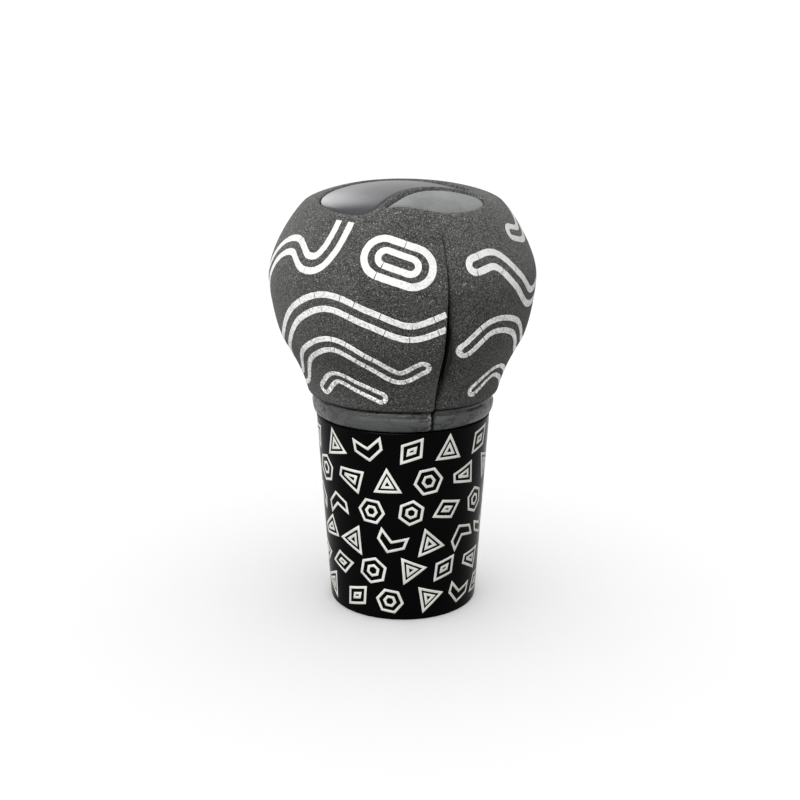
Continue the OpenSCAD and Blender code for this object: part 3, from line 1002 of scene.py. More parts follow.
@dataclass
class SuedePanel:
    """One of the head's two suede panels: rolled in at the seams and the hem, and cut round the inlays."""

    surface: HeadSurface
    side: Side
    thick: float = 1.3 * MM
    crown_hole: float = 2.2 * MM
    row_step: float = 0.42 * MM
    crown_step: float = 0.24 * MM
    hem_step: float = 0.3 * MM
    hem_rows: int = 7
    roll_columns: int = 11
    around: int = 210
    back_rows: int = 18

    def rows(self) -> Array:
        """Runs of the rows: round the hem, up the head, and closer together on the crown, near the inlays.

        Returns:
            The runs from the hem up.
        """
        s = self.surface
        top = float(np.interp(self.crown_hole, s.outline[::-1, 0], s.runs[::-1]))
        shoulder = s.run_at_height(s.crown_share_z(0.55))
        hem = s.hem_round * (1 - np.cos(np.linspace(0, np.pi / 2, self.hem_rows)))
        low = np.arange(s.hem_round + self.hem_step, shoulder, self.row_step)
        return np.concatenate([hem, low, np.arange(shoulder, top, self.crown_step), [top]])

    def outer(self) -> Array:
        """Grid of the outer face. Its columns run from the front seam's wall round to the back one's.

        The wall's points lie at the panel's thickness below the rolled edge, the roll's points follow a
        quarter circle, and the rest share the angle between the rolls evenly.

        Returns:
            The points, shaped (rows, columns, 3).
        """
        s, side = self.surface, self.side.value
        run = self.rows()[:, None]
        r, _ = s.profile(run)
        gap, wide = s.seam("gap", side, run), s.seam("wide", side, run)
        turn = np.linspace(0, np.pi / 2, self.roll_columns)[None, ::-1]
        rolled = np.arcsin(np.clip((gap + wide * (1 - np.sin(turn))) / r, 0, 1))
        edge = rolled[:, -1:]
        main = edge + (np.pi - 2 * edge) * (np.arange(1, self.around) / self.around)[None, :]
        angle = np.concatenate([rolled, main, np.pi - rolled[:, ::-1]], 1)
        runs = np.broadcast_to(run, angle.shape)
        face = s.point(side * angle.ravel(), runs.ravel()).reshape(*angle.shape, 3)
        return np.concatenate([self.wall(rolled[:, :1], run), face, self.wall(np.pi - rolled[:, :1], run)], 1)

    def wall(self, angle: Array, run: Array) -> Array:
        """The seam wall's inner edge, at the panel's thickness below the rolled edge."""
        s = self.surface
        return s.place(self.side.value * angle, run, self.thick + s.seam("deep", self.side.value, run))

    def back(self, builder: MeshBuilder, outer: Array, numbers: Array) -> None:
        """Closes the panel with a coarser grid, at the panel's thickness below the outer face's roll.

        The grid has the outer face's columns and some of its rows, and its first and last columns are the
        outer face's own. Long faces close the columns of points that the grid leaves out.

        Args:
            builder: the mesh that has the outer face.
            outer: the outer face's points.
            numbers: their numbers in the mesh.
        """
        s, side = self.surface, self.side.value
        pick = np.unique(np.linspace(0, len(outer) - 1, self.back_rows).astype(int))
        angle = side * np.arctan2(side * outer[pick, 1:-1, 0], -outer[pick, 1:-1, 1])
        run = np.broadcast_to(self.rows()[pick][:, None], angle.shape)
        inner = builder.place(s.place(angle, run, self.thick + s.roll(angle, run)))
        index = np.concatenate([numbers[pick, :1], inner, numbers[pick, -1:]], 1)
        quads = np.stack([index[:-1, :-1], index[1:, :-1], index[1:, 1:], index[:-1, 1:]], -1)
        builder.faces += quads.reshape(-1, 4).tolist()
        for first, last in zip(pick, pick[1:]):
            builder.faces.append(numbers[first:last + 1, 0].tolist())
            builder.faces.append(numbers[first:last + 1, -1][::-1].tolist())
        for near, far, flip in ((numbers[0], index[0], 1), (numbers[-1], index[-1], -1)):
            ring = np.stack([near[:-1], near[1:], far[1:], far[:-1]], -1)[:, ::flip]
            builder.faces += [list(dict.fromkeys(q)) for q in ring.tolist() if len(set(q)) > 2]

    def build(self) -> bpy.types.Object:
        """Makes the closed panel, and cuts the inlays' openings through it.

        Returns:
            The panel.
        """
        builder, outer = MeshBuilder(), self.outer()
        self.back(builder, outer, builder.grid(outer))
        panel = builder.build(f"suede_{self.side.name.lower()}", weld=MERGE, sharp=50)
        for leaf in Leaf:
            self.cut(panel, leaf)
        return panel

    def cut(self, panel: bpy.types.Object, leaf: Leaf) -> None:
        """Cuts an inlay's opening: the panel less an upright prism over the grown outline.

        Args:
            panel: the panel.
            leaf: the inlay.
        """
        s = self.surface
        loop = s.leaf(leaf, s.inlay_gap)
        ring = [np.column_stack([loop, np.full(len(loop), s.crown_share_z(share))]) for share in (0.0, 1.5)]
        builder = MeshBuilder()
        builder.tube(np.stack(ring))
        tool = builder.build("cutter", weld=MERGE)
        modifier = panel.modifiers.new("opening", "BOOLEAN")
        modifier.operation, modifier.solver, modifier.object = "DIFFERENCE", "EXACT", tool
        bpy.context.view_layer.update()
        cut = bpy.data.meshes.new_from_object(panel.evaluated_get(bpy.context.evaluated_depsgraph_get()))
        panel.modifiers.clear()
        panel.data = cut
        bpy.data.objects.remove(tool)

    def dress(self) -> bpy.types.Object:
        """Returns:
            The panel.
        """
        name = self.side.name.lower()
        panel = dress(self.build(), SUEDE, HEAD_BODY, f"cover_{name}")
        return panel


@dataclass(frozen=True)
class Line:
    """A pair of printed foil lines: places (degrees from the front seam, height in millimetres) along it.

    The width of each line and how far apart the two are from middle to middle are in millimetres. Cracks
    is how often they crack, as a multiple of the usual.
    """

    places: tuple[Pair, ...]
    cracks: float = 1.0
    width: float = 1.2
    apart: float = 2.6


@dataclass
class FoilLines:
    """Printed pairs of foil lines on one panel, each a loop of thin raised strip with cracks across it.

    A ring of the strip has five points on top and two sunk into the suede. Across is where they lie, in
    shares of the strip's width, and heights is how proud they stand, in shares of its thickness.
    """

    surface: HeadSurface
    side: Side
    lines: tuple[Line, ...]
    ragged: float = 0.03
    proud: float = 0.04 * MM
    crack: float = 0.13 * MM
    segment: float = 4.2 * MM
    uneven: Pair = (0.6, 1.9)
    step: float = 0.35 * MM
    seed: int = 7
    across: tuple[float, ...] = (-0.5, -0.47, 0.0, 0.47, 0.5, 0.5, -0.5)
    edges: tuple[int, ...] = (0, 0, 0, 1, 1, 1, 0)
    heights: tuple[float, ...] = (0.2, 1.0, 1.0, 1.0, 0.2, -2.0, -2.0)

    def strip(self, path: Array, width: float, random: np.random.Generator) -> Array:
        """Rings of a thin strip along a path.

        Across the strip, a point lies off the path square to it. The strip's two edges wander in and out a
        little, each on its own.

        Args:
            path: places (angle, run) in order.
            width: the strip's width.
            random: what makes the edges wander.

        Returns:
            The rings, shaped (places, 7, 3).
        """
        r, heading = self.surface.headings(path)
        ragged = 1 + self.ragged * random.standard_normal((len(path), 2))
        off = np.array(self.across)[None, :] * width * ragged[:, list(self.edges)]
        angle = path[:, :1] - off * heading[:, 1:] / r[:, None]
        run = path[:, 1:] + off * heading[:, :1]
        lift = np.broadcast_to(np.array(self.heights)[None, :] * self.proud, angle.shape)
        return self.surface.point(angle.ravel(), run.ravel(), lift.ravel()).reshape(*angle.shape, 3)

    def loop(self, line: Line) -> Array:
        """Path round the middle of a pair: up one side, round the end, and back down the other.

        Each point is a place on the middle plus shares of half the pair's width, square to it and along it.
        On the sides these are -1 or 1 and 0, and round the ends they are a cosine and a sine. The last point
        comes close to the first, so that only a crack's width is left open.

        Args:
            line: the pair.

        Returns:
            Places (angle, run) in order.
        """
        s = self.surface
        places = np.array([(math.radians(a), s.run_at_height(z * MM)) for a, z in line.places])
        middle = smooth_path(places, 24)
        scaled = np.column_stack([middle[:, 0] * s.head_r, middle[:, 1]])
        many = int(lengths(scaled)[-1] / self.step)
        middle = resample(middle, np.linspace(0, 1, many))
        r, heading = s.headings(middle)
        turn = np.linspace(0, np.pi, max(5, int(np.pi / 2 * line.apart * MM / self.step)))[1:-1]
        order = np.arange(many)
        pick = np.concatenate([order, np.full(len(turn), many - 1), order[::-1], np.zeros(len(turn), int)])
        square = np.concatenate([-np.ones(many), -np.cos(turn), np.ones(many), np.cos(turn)])[:, None]
        ahead = np.concatenate([np.zeros(many), np.sin(turn), np.zeros(many), -np.sin(turn)])[:, None]
        off = square * np.stack([-heading[pick, 1], heading[pick, 0]], -1) + ahead * heading[pick]
        off *= line.apart * MM / 2
        path = middle[pick] + off / np.stack([r[pick], np.ones(len(pick))], -1)
        return np.concatenate([path, path[:1] + 0.4 * (path[-1:] - path[:1])])

    def inside(self, path: Array, width: float) -> Array:
        """Which places of a path lie on this panel, clear of the seams, the hem, the inlays and the crown.

        Args:
            path: places (angle, run) in order.
            width: the strip's width.

        Returns:
            True for each place that does.
        """
        s = self.surface
        angle, run = path.T
        bare = s.place(angle, run, 0.0)
        seam = self.side.value * bare[:, 0] - s.seam("gap", angle, run)
        clear = (seam > 0.3 * s.seam("wide", angle, run)) & (run > s.hem_round)
        for leaf in Leaf:
            clear &= signed_distance(bare[:, :2], s.leaf(leaf, 0.0, 6)) > 0.35 * width
        return clear & (run < s.runs[-1] - 2 * MM)

    def build(self) -> bpy.types.Object:
        """Makes every strip of the panel, broken by cracks into stretches of uneven length.

        Returns:
            The lines as one object.
        """
        random = np.random.default_rng(self.seed + self.side.value)
        builder = MeshBuilder()
        for line in self.lines:
            path = self.loop(line)
            keep = self.inside(path, line.width * MM)
            starts = np.flatnonzero(keep & ~np.concatenate([[False], keep[:-1]]))
            for first in starts:
                stop = first + np.argmin(np.append(keep[first:], False))
                self.stretches(builder, path[first:stop], line, random)
        return builder.build(f"foil_lines_{self.side.name.lower()}", sharp=28)

    def stretches(self, builder: MeshBuilder, path: Array, line: Line, random: np.random.Generator) -> None:
        """Adds the stretches of one line, a crack's width apart.

        Args:
            builder: the mesh that they go into.
            path: the line's places (angle, run).
            line: the pair that it belongs to.
            random: what gives each stretch its length.
        """
        at, least = 0, 4
        while at < len(path) - least + 1:
            long = self.segment * random.uniform(*self.uneven) / line.cracks
            stop = min(len(path), at + max(least, int(long / self.step)))
            if len(path) - stop < least:
                stop = len(path)
            piece = path[at:stop].copy()
            if stop < len(path):
                piece[-1] += (piece[-2] - piece[-1]) * self.crack / self.step
            builder.tube(self.strip(piece, line.width * MM, random))
            at = stop - 1

    def dress(self) -> bpy.types.Object:
        """Builds the lines and prints them on the panel."""
        return dress(self.build(), FOIL, HEAD_BODY)


@dataclass
class CrownInlay:
    """A domed inlay with rounded edges, whose sections run from one bank of its leaf to the other.

    The tips are the numbers of the leaf's two end corners, and the drop is how far it lies below the suede.
    """

    surface: HeadSurface
    leaf: Leaf
    node: str
    finish: Finish
    tips: tuple[int, int]
    drop: float = 0.35 * MM
    thick: float = 1.8 * MM
    edge: float = 0.4 * MM
    across: int = 44
    under: int = 5
    along: int = 150
    steps: int = 14

    def banks(self, loop: Array) -> tuple[Array, Array]:
        """The outline's two banks.

        Args:
            loop: the outline's points, anticlockwise.

        Returns:
            Points of each bank, from the first tip to the second.
        """
        a, b = (tip * self.steps for tip in self.tips)
        twice = np.concatenate([loop, loop])
        one = twice[a:b + 1 if b > a else b + len(loop) + 1]
        other = twice[b:a + 1 if a > b else a + len(loop) + 1][::-1]
        return resample(one, eased(self.along)), resample(other, eased(self.along))

    def height(self, plan: Array, depth: float) -> Array:
        """Height of the crown, moved inwards.

        Args:
            plan: plan points.
            depth: how far inwards.

        Returns:
            The height over each point.
        """
        s = self.surface
        r, z = s.profile(s.runs[s.runs > s.run_at_height(s.widest_z)], depth)
        return np.interp(np.linalg.norm(plan, axis=-1), r[::-1], z[::-1])

    def build(self) -> bpy.types.Object:
        """Makes the inlay: over each section, a domed top rolled off at the edge, and a coarser underside.

        Returns:
            The inlay.
        """
        loop = self.surface.leaf(self.leaf, 0.0, self.steps)
        one, other = self.banks(loop)
        share = eased(self.across)[None, :, None]
        plan = one[:, None, :] * (1 - share) + other[:, None, :] * share
        inwards = -signed_distance(plan.reshape(-1, 2), loop).reshape(plan.shape[:2])
        top = self.height(plan, self.drop) - quarter_round(np.maximum(inwards, 0), self.edge)
        picked = plan[:, np.linspace(self.across - 1, 0, self.under).astype(int)]
        under = self.height(picked, self.drop + self.thick)
        builder = MeshBuilder()
        builder.tube(np.concatenate([np.dstack([plan, top]), np.dstack([picked, under])], 1))
        return builder.build(f"inlay_{self.leaf.name.lower()}", weld=0.01 * MM, sharp=45)

    def dress(self) -> bpy.types.Object:
        """Builds the inlay and puts it in place of its node."""
        return dress(self.build(), self.finish, HEAD_BODY, self.node)


@dataclass
class TrimBand:
    """Leather strip round the neck, with rolled edges, shallow wrinkles and folded ends at the joint.

    The bulge and the back are half the section's thickness outwards and inwards.
    """

    foot_z: float
    top_z: float
    outer_r: float
    joint: float = 0.56 * MM
    bulge: float = 0.95 * MM
    back: float = 0.35 * MM
    inset: float = 0.06 * MM
    lean: float = 0.1
    end_round: float = 1.1 * MM
    end_share: float = 0.14
    proud: float = 0.2 * MM
    proud_reach: float = 3.0 * MM
    crease: float = 0.05 * MM
    groove: Pair = (0.1 * MM, 0.55 * MM)
    groove_width: float = 0.3 * MM
    groove_at: float = 0.8
    around: int = 420
    section_points: int = 56
    section_powers: Pair = (0.9, 0.8)

    def section(self) -> tuple[Array, Array]:
        """Closed section of the strip, round its own middle, in shares of its half sizes.

        It is a superellipse: each coordinate is a cosine or sine raised to a power below one, with its sign.

        Returns:
            How far outwards and how far upwards each point lies, in one row each.
        """
        turn = np.linspace(0, 2 * np.pi, self.section_points, endpoint=False)
        rounds = ((np.cos(turn), self.section_powers[0]), (np.sin(turn), self.section_powers[1]))
        out, up = (np.sign(v) * np.abs(v)**power for v, power in rounds)
        return out[None, :], up[None, :]

    def ends(self, from_end: Array) -> Array:
        """Share of the full section near the joint: a quarter circle that starts at the end's own share."""
        short = 1 - np.clip(from_end / self.end_round, 0, 1)
        return np.sqrt(np.clip(1 - short**2, 0, 1)) * (1 - self.end_share) + self.end_share

    def creases(self, angle: Array, run: Array, up: Array, full: Array) -> Array:
        """How far the face stands out in its wrinkles and in the fold under its top edge.

        The wrinkles are sine waves along the band whose phases wander. The fold is a groove that follows a
        wavy height: its depth falls off from that height as a bell curve, and it is deepest right of the
        joint.

        Args:
            angle: angles round the axis.
            run: runs round the band.
            up: heights above the band's middle.
            full: shares of the full section.

        Returns:
            The height at each point, below zero in the groove.
        """
        wrinkles = waves(run / (2.4 * MM) + 3 * np.sin(run / (7 * MM)) + up / (0.8 * MM),
                         run / (1.5 * MM) - up / (0.6 * MM) + 2 * np.sin(run / (9 * MM)),
                         run / (4.4 * MM) + 1.0)
        half_h = (self.top_z - self.foot_z) / 2
        height = half_h * (0.48 + 0.1 * waves(3 * angle + 0.4, 7 * angle, 11 * angle))
        facing = np.clip(np.cos(angle - self.groove_at), 0, 1)**2
        deep = (self.groove[0] + self.groove[1] * facing) * full
        return self.crease * wrinkles - deep * np.exp(-((up - height) / self.groove_width)**2)

    def build(self) -> bpy.types.Object:
        """Carries the section round the neck, wrinkles its face and rounds its ends.

        The left end sinks a little and the right end stands a little proud, each fading along the band.

        Returns:
            The band.
        """
        edge = self.joint / 2 / self.outer_r
        angle = (edge + (2 * np.pi - 2 * edge) * np.linspace(0, 1, self.around))[:, None]
        run = angle * self.outer_r
        after, before = run - run[0], run[-1] - run
        full = self.ends(np.minimum(after, before))
        out, up = self.section()
        face = np.clip(out, 0, 1)
        out = out * np.where(out > 0, self.bulge, self.back) * (0.55 + 0.45 * full)
        up = up * (self.top_z - self.foot_z) / 2 * (0.75 + 0.25 * full)
        proud = -self.proud * (np.exp(-after / self.proud_reach) - np.exp(-before / self.proud_reach))
        centre = self.outer_r - self.bulge - self.inset
        r = centre + self.lean * up + out + face * (proud + self.creases(angle, run, up, full))
        builder = MeshBuilder()
        builder.tube(turned(r, angle, (self.foot_z + self.top_z) / 2 + up))
        return builder.build("neck_band", weld=0.001 * MM, sharp=60)

    def dress(self) -> bpy.types.Object:
        """Builds the band and puts it in place of its node."""
        return dress(self.build(), BAND_LEATHER, HEAD_BODY, "trim_band")


# The collar


@dataclass(frozen=True)
class CollarShape:
    """Sizes of the collar: a taper with a land for the ring and a socket for the neck's spigot."""

    height: float
    top_r: float
    foot_r: float = 15.0 * MM
    wall: float = 1.6 * MM
    land_r: float = 13.4 * MM
    land_top: float = 35.9 * MM
    land_h: float = 5.0 * MM
    land_taper: float = 1.2 * MM
    socket_r: float = 15.6 * MM
    edge: float = 0.3 * MM

    @classmethod
    def from_frame(cls) -> "CollarShape":
        """The collar at its node's height and width."""
        low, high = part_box("collar")
        return cls(height=high.z - low.z, top_r=high.x)

    def radius(self, z: Array) -> Array:
        """Outer radius at a height."""
        return self.foot_r + (self.top_r - self.foot_r) * z / self.height


@dataclass
class Collar:
    """Turned gloss black collar with softened edges."""

    shape: CollarShape
    around: int = 256
    edge_points: int = 7
    side_points: int = 24

    def section(self) -> Array:
        """Closed section of the collar: up the outside, with a quarter round at each edge, and down the bore.

        Returns:
            Points (radius, height), from the foot's outer edge.
        """
        s, turn = self.shape, np.linspace(0, np.pi / 2, self.edge_points)
        rise, fall = s.edge * (1 - np.cos(turn)), s.edge * (1 - np.sin(turn))
        side = np.linspace(2 * s.edge, s.height - 2 * s.edge, self.side_points)
        step = s.land_top - s.land_h
        low = step - s.land_taper
        bore = [(s.socket_r, s.height), (s.socket_r, s.land_top), (s.land_r, s.land_top), (s.land_r, step),
                (s.radius(low) - s.wall, low), (s.foot_r - s.wall, 0.0)]
        foot = np.column_stack([s.foot_r - fall, rise])
        top = np.column_stack([s.top_r - rise, s.height - fall])
        return np.concatenate([foot, np.column_stack([s.radius(side), side]), top, np.array(bore)])

    def build(self) -> bpy.types.Object:
        """Turns the section round the axis.

        Returns:
            The collar.
        """
        r, z = self.section().T[:, None, :]
        angle = np.linspace(0, 2 * np.pi, self.around, endpoint=False)[:, None]
        builder = MeshBuilder()
        builder.grid(turned(r, angle, z), close_rows=True, close_columns=True)
        return builder.build("collar_shell", weld=MERGE, sharp=35)

    def dress(self) -> bpy.types.Object:
        """Builds the collar and puts it in place of its node."""
        return dress(self.build(), COLLAR_BLACK, COLLAR_BODY, "collar")


def hexagon(size: float) -> tuple[Pair, ...]:
    """Corners of a regular hexagon at a distance from its middle."""
    return tuple((size * math.cos(k * math.pi / 3), size * math.sin(k * math.pi / 3)) for k in range(6))


class Motif(Enum):
    """Plain outlines for the collar's print: one or two loops of corners each, in shares of its size."""

    TRIANGLES = (((-0.95, -0.78), (0.95, -0.78), (0.0, 0.95)), ((-0.36, -0.42), (0.36, -0.42), (0.0, 0.25)))
    CHEVRON = (((-1.0, -0.72), (0.0, -0.05), (1.0, -0.72), (1.0, 0.05), (0.0, 0.78), (-1.0, 0.05)),)
    BAR = (((-0.98, -0.62), (0.52, -0.62), (0.98, 0.62), (-0.52, 0.62)),
           ((-0.34, -0.16), (0.18, -0.16), (0.34, 0.16), (-0.18, 0.16)))
    HEXAGONS = (hexagon(0.95), hexagon(0.4))
    WEDGE = (((-0.9, -0.8), (0.9, -0.3), (0.9, 0.3), (-0.9, 0.8)),
             ((-0.48, -0.26), (0.42, -0.04), (0.42, 0.04), (-0.48, 0.26)))


@dataclass
class CollarPrint:
    """Off-white outlines printed on the collar in staggered rows, each a thin raised ribbon.

    Across and heights are where the ribbon's points lie, in shares of its stroke and thickness. The turn is
    in degrees, and the nudge is in shares of the room between two motifs.
    """

    shape: CollarShape
    rows: int = 6
    in_row: int = 13
    size: float = 2.85 * MM
    sizes: Pair = (0.88, 1.02)
    turn: float = 26.0
    nudge: float = 0.06
    stroke: float = 0.52 * MM
    proud: float = 0.03 * MM
    step: float = 0.6 * MM
    low_z: float = 4.1 * MM
    high_z: float = 35.6 * MM
    seed: int = 23
    across: tuple[float, ...] = (-0.5, -0.4, 0.4, 0.5)
    heights: tuple[float, ...] = (0.2, 1.0, 1.0, 0.2, -1.5, -1.5)

    def ribbon(self, corners: Array, round_at: float, up_at: float) -> Array:
        """Rings of a closed ribbon with mitred corners, wrapped on the collar.

        At a corner, a point lies off along the mitre by the offset over the cosine of half the turn. The
        straight sides between corners are divided evenly, so that the ribbon follows the taper.

        Args:
            corners: the outline's corners, flat.
            round_at: angle of its middle round the axis.
            up_at: height of its middle.

        Returns:
            The rings, shaped (rings, 6, 3).
        """
        edge = unit(np.roll(corners, -1, axis=0) - corners)
        normal = np.stack([edge[:, 1], -edge[:, 0]], -1)
        mitre = normal + np.roll(normal, 1, axis=0)
        mitre /= (mitre * normal).sum(1, keepdims=True)
        off = np.array(self.across)[None, :, None] * self.stroke
        lanes = corners[:, None, :] + off * mitre[:, None, :]
        sides = np.roll(lanes, -1, axis=0) - lanes
        parts = np.maximum(2, (np.linalg.norm(sides, axis=-1).max(1) / self.step).astype(int))
        corner = np.repeat(np.arange(len(parts)), parts)
        share = (np.arange(parts.sum()) - (np.cumsum(parts) - parts)[corner]) / parts[corner]
        flat = lanes[corner] + sides[corner] * share[:, None, None]
        flat = np.concatenate([flat, flat[:, ::-3]], 1)
        z = up_at + flat[..., 1]
        angle = round_at + flat[..., 0] / self.shape.radius(up_at)
        return turned(self.shape.radius(z) + np.array(self.heights)[None, :] * self.proud, angle, z)

    def build(self) -> bpy.types.Object:
        """Sets a motif at each place of the rows, a little turned, moved and resized at random.

        Returns:
            The print as one object.
        """
        random = np.random.default_rng(self.seed)
        kinds = list(Motif)
        builder = MeshBuilder()
        for row in range(self.rows):
            z = self.low_z + (self.high_z - self.low_z) * row / (self.rows - 1)
            for k in range(self.in_row):
                motif = kinds[(2 * row + k + int(random.integers(2))) % len(kinds)]
                nudge = random.uniform(-self.nudge, self.nudge)
                angle = 2 * math.pi * (k + 0.5 * (row % 2) + nudge) / self.in_row
                turn = math.radians(random.uniform(-self.turn, self.turn)) + math.pi * int(random.integers(2))
                size = self.size * random.uniform(*self.sizes)
                for loop in motif.value:
                    corners = size * np.array(loop) @ rotation(turn)
                    builder.grid(self.ribbon(corners, angle, z), close_rows=True, close_columns=True)
        return builder.build("collar_print", sharp=60, outward=True)

    def dress(self) -> bpy.types.Object:
        """Builds the print and puts it on the collar."""
        return dress(self.build(), PRINT_WHITE, COLLAR_BODY)


# The lever clamp


@dataclass
class ClampPart:
    """A part of the clamp or the core: its node's own solid, merged, with small bevels.

    The angles are in degrees: flat is within which faces join into one, sharp is above which an edge is
    shaded sharp, and bevelled is above which it is bevelled.
    """

    node: str
    finish: Finish
    body: str = HEAD_BODY
    bevel: float = 0.12 * MM
    weld: float = 0.002 * MM
    flat: float = 0.5
    sharp: float = 32.0
    bevelled: float = 40.0

    def dress(self) -> bpy.types.Object:
        """Copies the node's mesh, merges it, bevels it and puts it in the node's place.

        Returns:
            The part.
        """
        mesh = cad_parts[self.node].data.copy()
        work = bmesh.new()
        work.from_mesh(mesh)
        bmesh.ops.remove_doubles(work, verts=work.verts, dist=self.weld)
        flat = math.radians(self.flat)
        bmesh.ops.dissolve_limit(work, angle_limit=flat, verts=work.verts, edges=work.edges)
        bmesh.ops.dissolve_degenerate(work, edges=work.edges, dist=self.weld)
        work.to_mesh(mesh)
        work.free()
        piece = link(f"{self.node}_dressed", mesh, self.sharp)
        if self.bevel:
            soft = piece.modifiers.new("bevel", "BEVEL")
            soft.width, soft.segments, soft.limit_method = self.bevel, 2, "ANGLE"
            soft.angle_limit = math.radians(self.bevelled)
            soft.harden_normals = True
        return dress(piece, self.finish, self.body, self.node)


# The stage


@dataclass(frozen=True)
class Lamp:
    """A square soft light: degrees round from the camera and up, distance, side and watts."""

    name: str
    round_by: float
    up_by: float
    away: float
    size: float
    power: float


@dataclass(frozen=True)
class Studio:
    """Camera, lights and floor. The camera stands at the photograph's angle and distance.

    Azimuth and pitch are in degrees, and the lens and the sensor in millimetres.
    """

    azimuth: float = -18.0
    distance: float = 225.1 * MM
    camera_z: float = 101.6 * MM
    pitch: float = 15.05
    lens: float = 52.15
    sensor: float = 36.0
    shift_x: float = -0.00375
    clip_start: float = 0.01
    aim_z: float = 0.045
    sky: float = 1.1
    floor_size: float = 4.0
    key: Lamp = Lamp("key", -28, 55, 0.75, 0.45, 14.0)
    rim: Lamp = Lamp("rim", -149, 30, 0.8, 0.5, 2.4)

    def camera(self) -> None:
        """Makes the camera, level across and looking down by the pitch."""
        data = bpy.data.cameras.new("camera")
        data.lens, data.sensor_width, data.shift_x = self.lens, self.sensor, self.shift_x
        data.clip_start = self.clip_start
        camera = bpy.data.objects.new("camera", data)
        a = math.radians(self.azimuth)
        camera.location = (self.distance * math.sin(a), -self.distance * math.cos(a), self.camera_z)
        camera.rotation_euler = (math.radians(90 - self.pitch), 0, a)
        bpy.context.scene.collection.objects.link(camera)
        bpy.context.scene.camera = camera

    def light(self, lamp: Lamp, spared: Sequence[bpy.types.Object]) -> None:
        """Makes a light that looks at the knob's middle.

        Args:
            lamp: the light.
            spared: pieces that the light leaves alone.
        """
        data = bpy.data.lights.new(lamp.name, "AREA")
        data.size, data.energy = lamp.size, lamp.power
        light = bpy.data.objects.new(lamp.name, data)
        a, e, away = math.radians(self.azimuth + lamp.round_by), math.radians(lamp.up_by), lamp.away
        light.location = (away * math.sin(a) * math.cos(e), -away * math.cos(a) * math.cos(e),
                          self.aim_z + away * math.sin(e))
        light.rotation_euler = (math.pi / 2 - e, 0, a)
        left_alone = bpy.data.collections.new(f"{lamp.name}_spares")
        for k, piece in enumerate(spared):
            left_alone.objects.link(piece)
            left_alone.collection_objects[k].light_linking.link_state = "EXCLUDE"
        light.light_linking.receiver_collection = left_alone
        bpy.context.scene.collection.objects.link(light)

    def floor(self) -> bpy.types.Object:
        """Makes the pale floor.

        Returns:
            The floor.
        """
        ends = [-self.floor_size, self.floor_size]
        x, y = np.meshgrid(ends, ends)
        builder = MeshBuilder()
        builder.grid(np.dstack([x, y, 0 * x]))
        floor = builder.build("floor")
        floor.data.materials.append(FLOOR_WHITE.material())
        return floor

    def build(self, inlays: Sequence[bpy.types.Object]) -> None:
        """Sets the whole stage.

        Both lights spare the floor. The key spares the inlays too, which the sky and the rim light shape.

        Args:
            inlays: the crown's two inlays.
        """
        self.camera()
        floor = self.floor()
        world = bpy.data.worlds.new("studio")
        world.use_nodes = True
        colour, strength = world.node_tree.nodes["Background"].inputs[:2]
        colour.default_value, strength.default_value = (1, 1, 1, 1), self.sky
        bpy.context.scene.world = world
        bpy.context.scene.view_settings.view_transform = "Standard"
        self.light(self.key, [floor, *inlays])
        self.light(self.rim, [floor])


LEFT_LINES = (
    Line(((-118, 60), (-102, 65), (-88, 72), (-74, 74), (-63, 71.5), (-54, 72.5), (-48, 78), (-46, 84)),
         0.35, 1.3, 2.7),
    Line(((-26, 73.2), (-14, 71.6)), 0.25, 1.35, 7.0),
    Line(((-25, 73.1), (-15, 71.7)), 0.25, 1.2, 2.8),
    Line(((-122, 55), (-104, 52), (-86, 55.5), (-68, 62), (-50, 65), (-32, 62.5), (-16, 60), (-3, 61.5),
          (8, 64)), 1.0, 1.15, 2.6),
    Line(((-100, 46.8), (-84, 48.5), (-68, 54), (-50, 57), (-34, 54), (-20, 51), (-9, 53)), 1.3, 1.0, 2.2),
    Line(((-66, 47), (-54, 50), (-42, 48.5), (-30, 46.6)), 1.5, 0.9, 1.9),
    Line(((-172, 75), (-156, 70), (-142, 63), (-126, 64.5), (-116, 71), (-124, 76.5), (-140, 78)), 0.8),
    Line(((-188, 56), (-172, 56), (-154, 51), (-138, 48.5), (-124, 49.5)), 1.2, 1.1, 2.4),
)
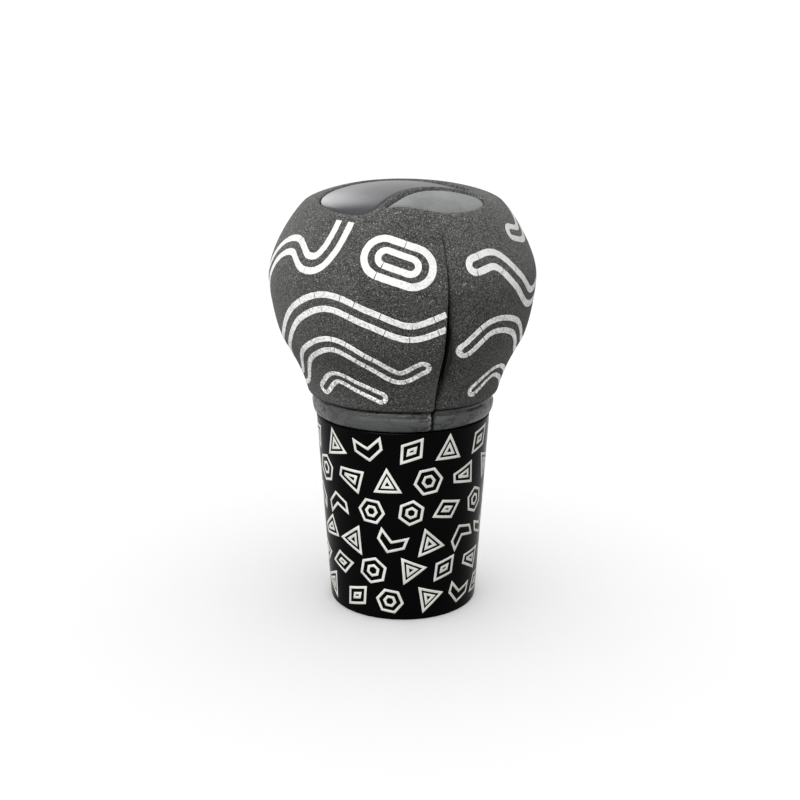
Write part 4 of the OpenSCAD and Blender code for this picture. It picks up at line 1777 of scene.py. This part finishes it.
RIGHT_LINES = (
    Line(((13, 71.5), (24, 72), (36, 68), (48, 64), (62, 65), (76, 70), (92, 71), (106, 68), (120, 64.5)),
         0.5, 1.3, 2.7),
    Line(((44, 76), (56, 75.5), (70, 78), (84, 80), (100, 78), (116, 74)), 0.3, 1.2, 2.5),
    Line(((10, 56), (22, 60), (38, 59), (52, 54.5), (66, 54), (80, 58.5), (96, 62), (112, 59.5)),
         0.9, 1.1, 2.4),
    Line(((24, 47), (36, 50), (48, 49), (60, 46.8)), 1.3, 0.95, 2.0),
    Line(((86, 47), (100, 50.5), (118, 53), (136, 50), (154, 51), (172, 56), (190, 56)), 0.9, 1.1, 2.4),
    Line(((128, 70), (140, 73.5), (152, 71), (164, 67), (172, 68)), 0.4),
)


def main() -> None:
    """Builds the knob piece by piece on the frame, and reports each piece."""
    surface = HeadSurface.from_frame()
    for side, lines in ((Side.LEFT, LEFT_LINES), (Side.RIGHT, RIGHT_LINES)):
        SuedePanel(surface, side).dress()
        FoilLines(surface, side, lines).dress()
    inlays = [CrownInlay(surface, Leaf.LEFT, "top_inlay_left", INLAY_GLOSS, (2, 9)).dress(),
              CrownInlay(surface, Leaf.RIGHT, "top_inlay_right", INLAY_SATIN, (0, 5), edge=0.8 * MM).dress()]
    low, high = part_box("trim_band")
    TrimBand(low.z, high.z, high.x).dress()
    shape = CollarShape.from_frame()
    Collar(shape).dress()
    CollarPrint(shape).dress()
    ClampPart("stem_insert", TURNED_METAL).dress()
    ClampPart("reducer_bush", BUSH_PLASTIC).dress()
    for node, finish in (("o_ring", RING_RUBBER), ("core_left", CORE_PLASTIC), ("core_right", CORE_PLASTIC)):
        ClampPart(node, finish, bevel=0.0).dress()
    for k in (1, 2, 3):
        ClampPart(f"grub_screw_{k}", SCREW_STEEL, f"screw_{k}", 0.08 * MM).dress()
    Studio().build(inlays)
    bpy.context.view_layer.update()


if __name__ == "__main__":
    logging.basicConfig(level=logging.INFO, format="%(name)s: %(message)s")
    main()
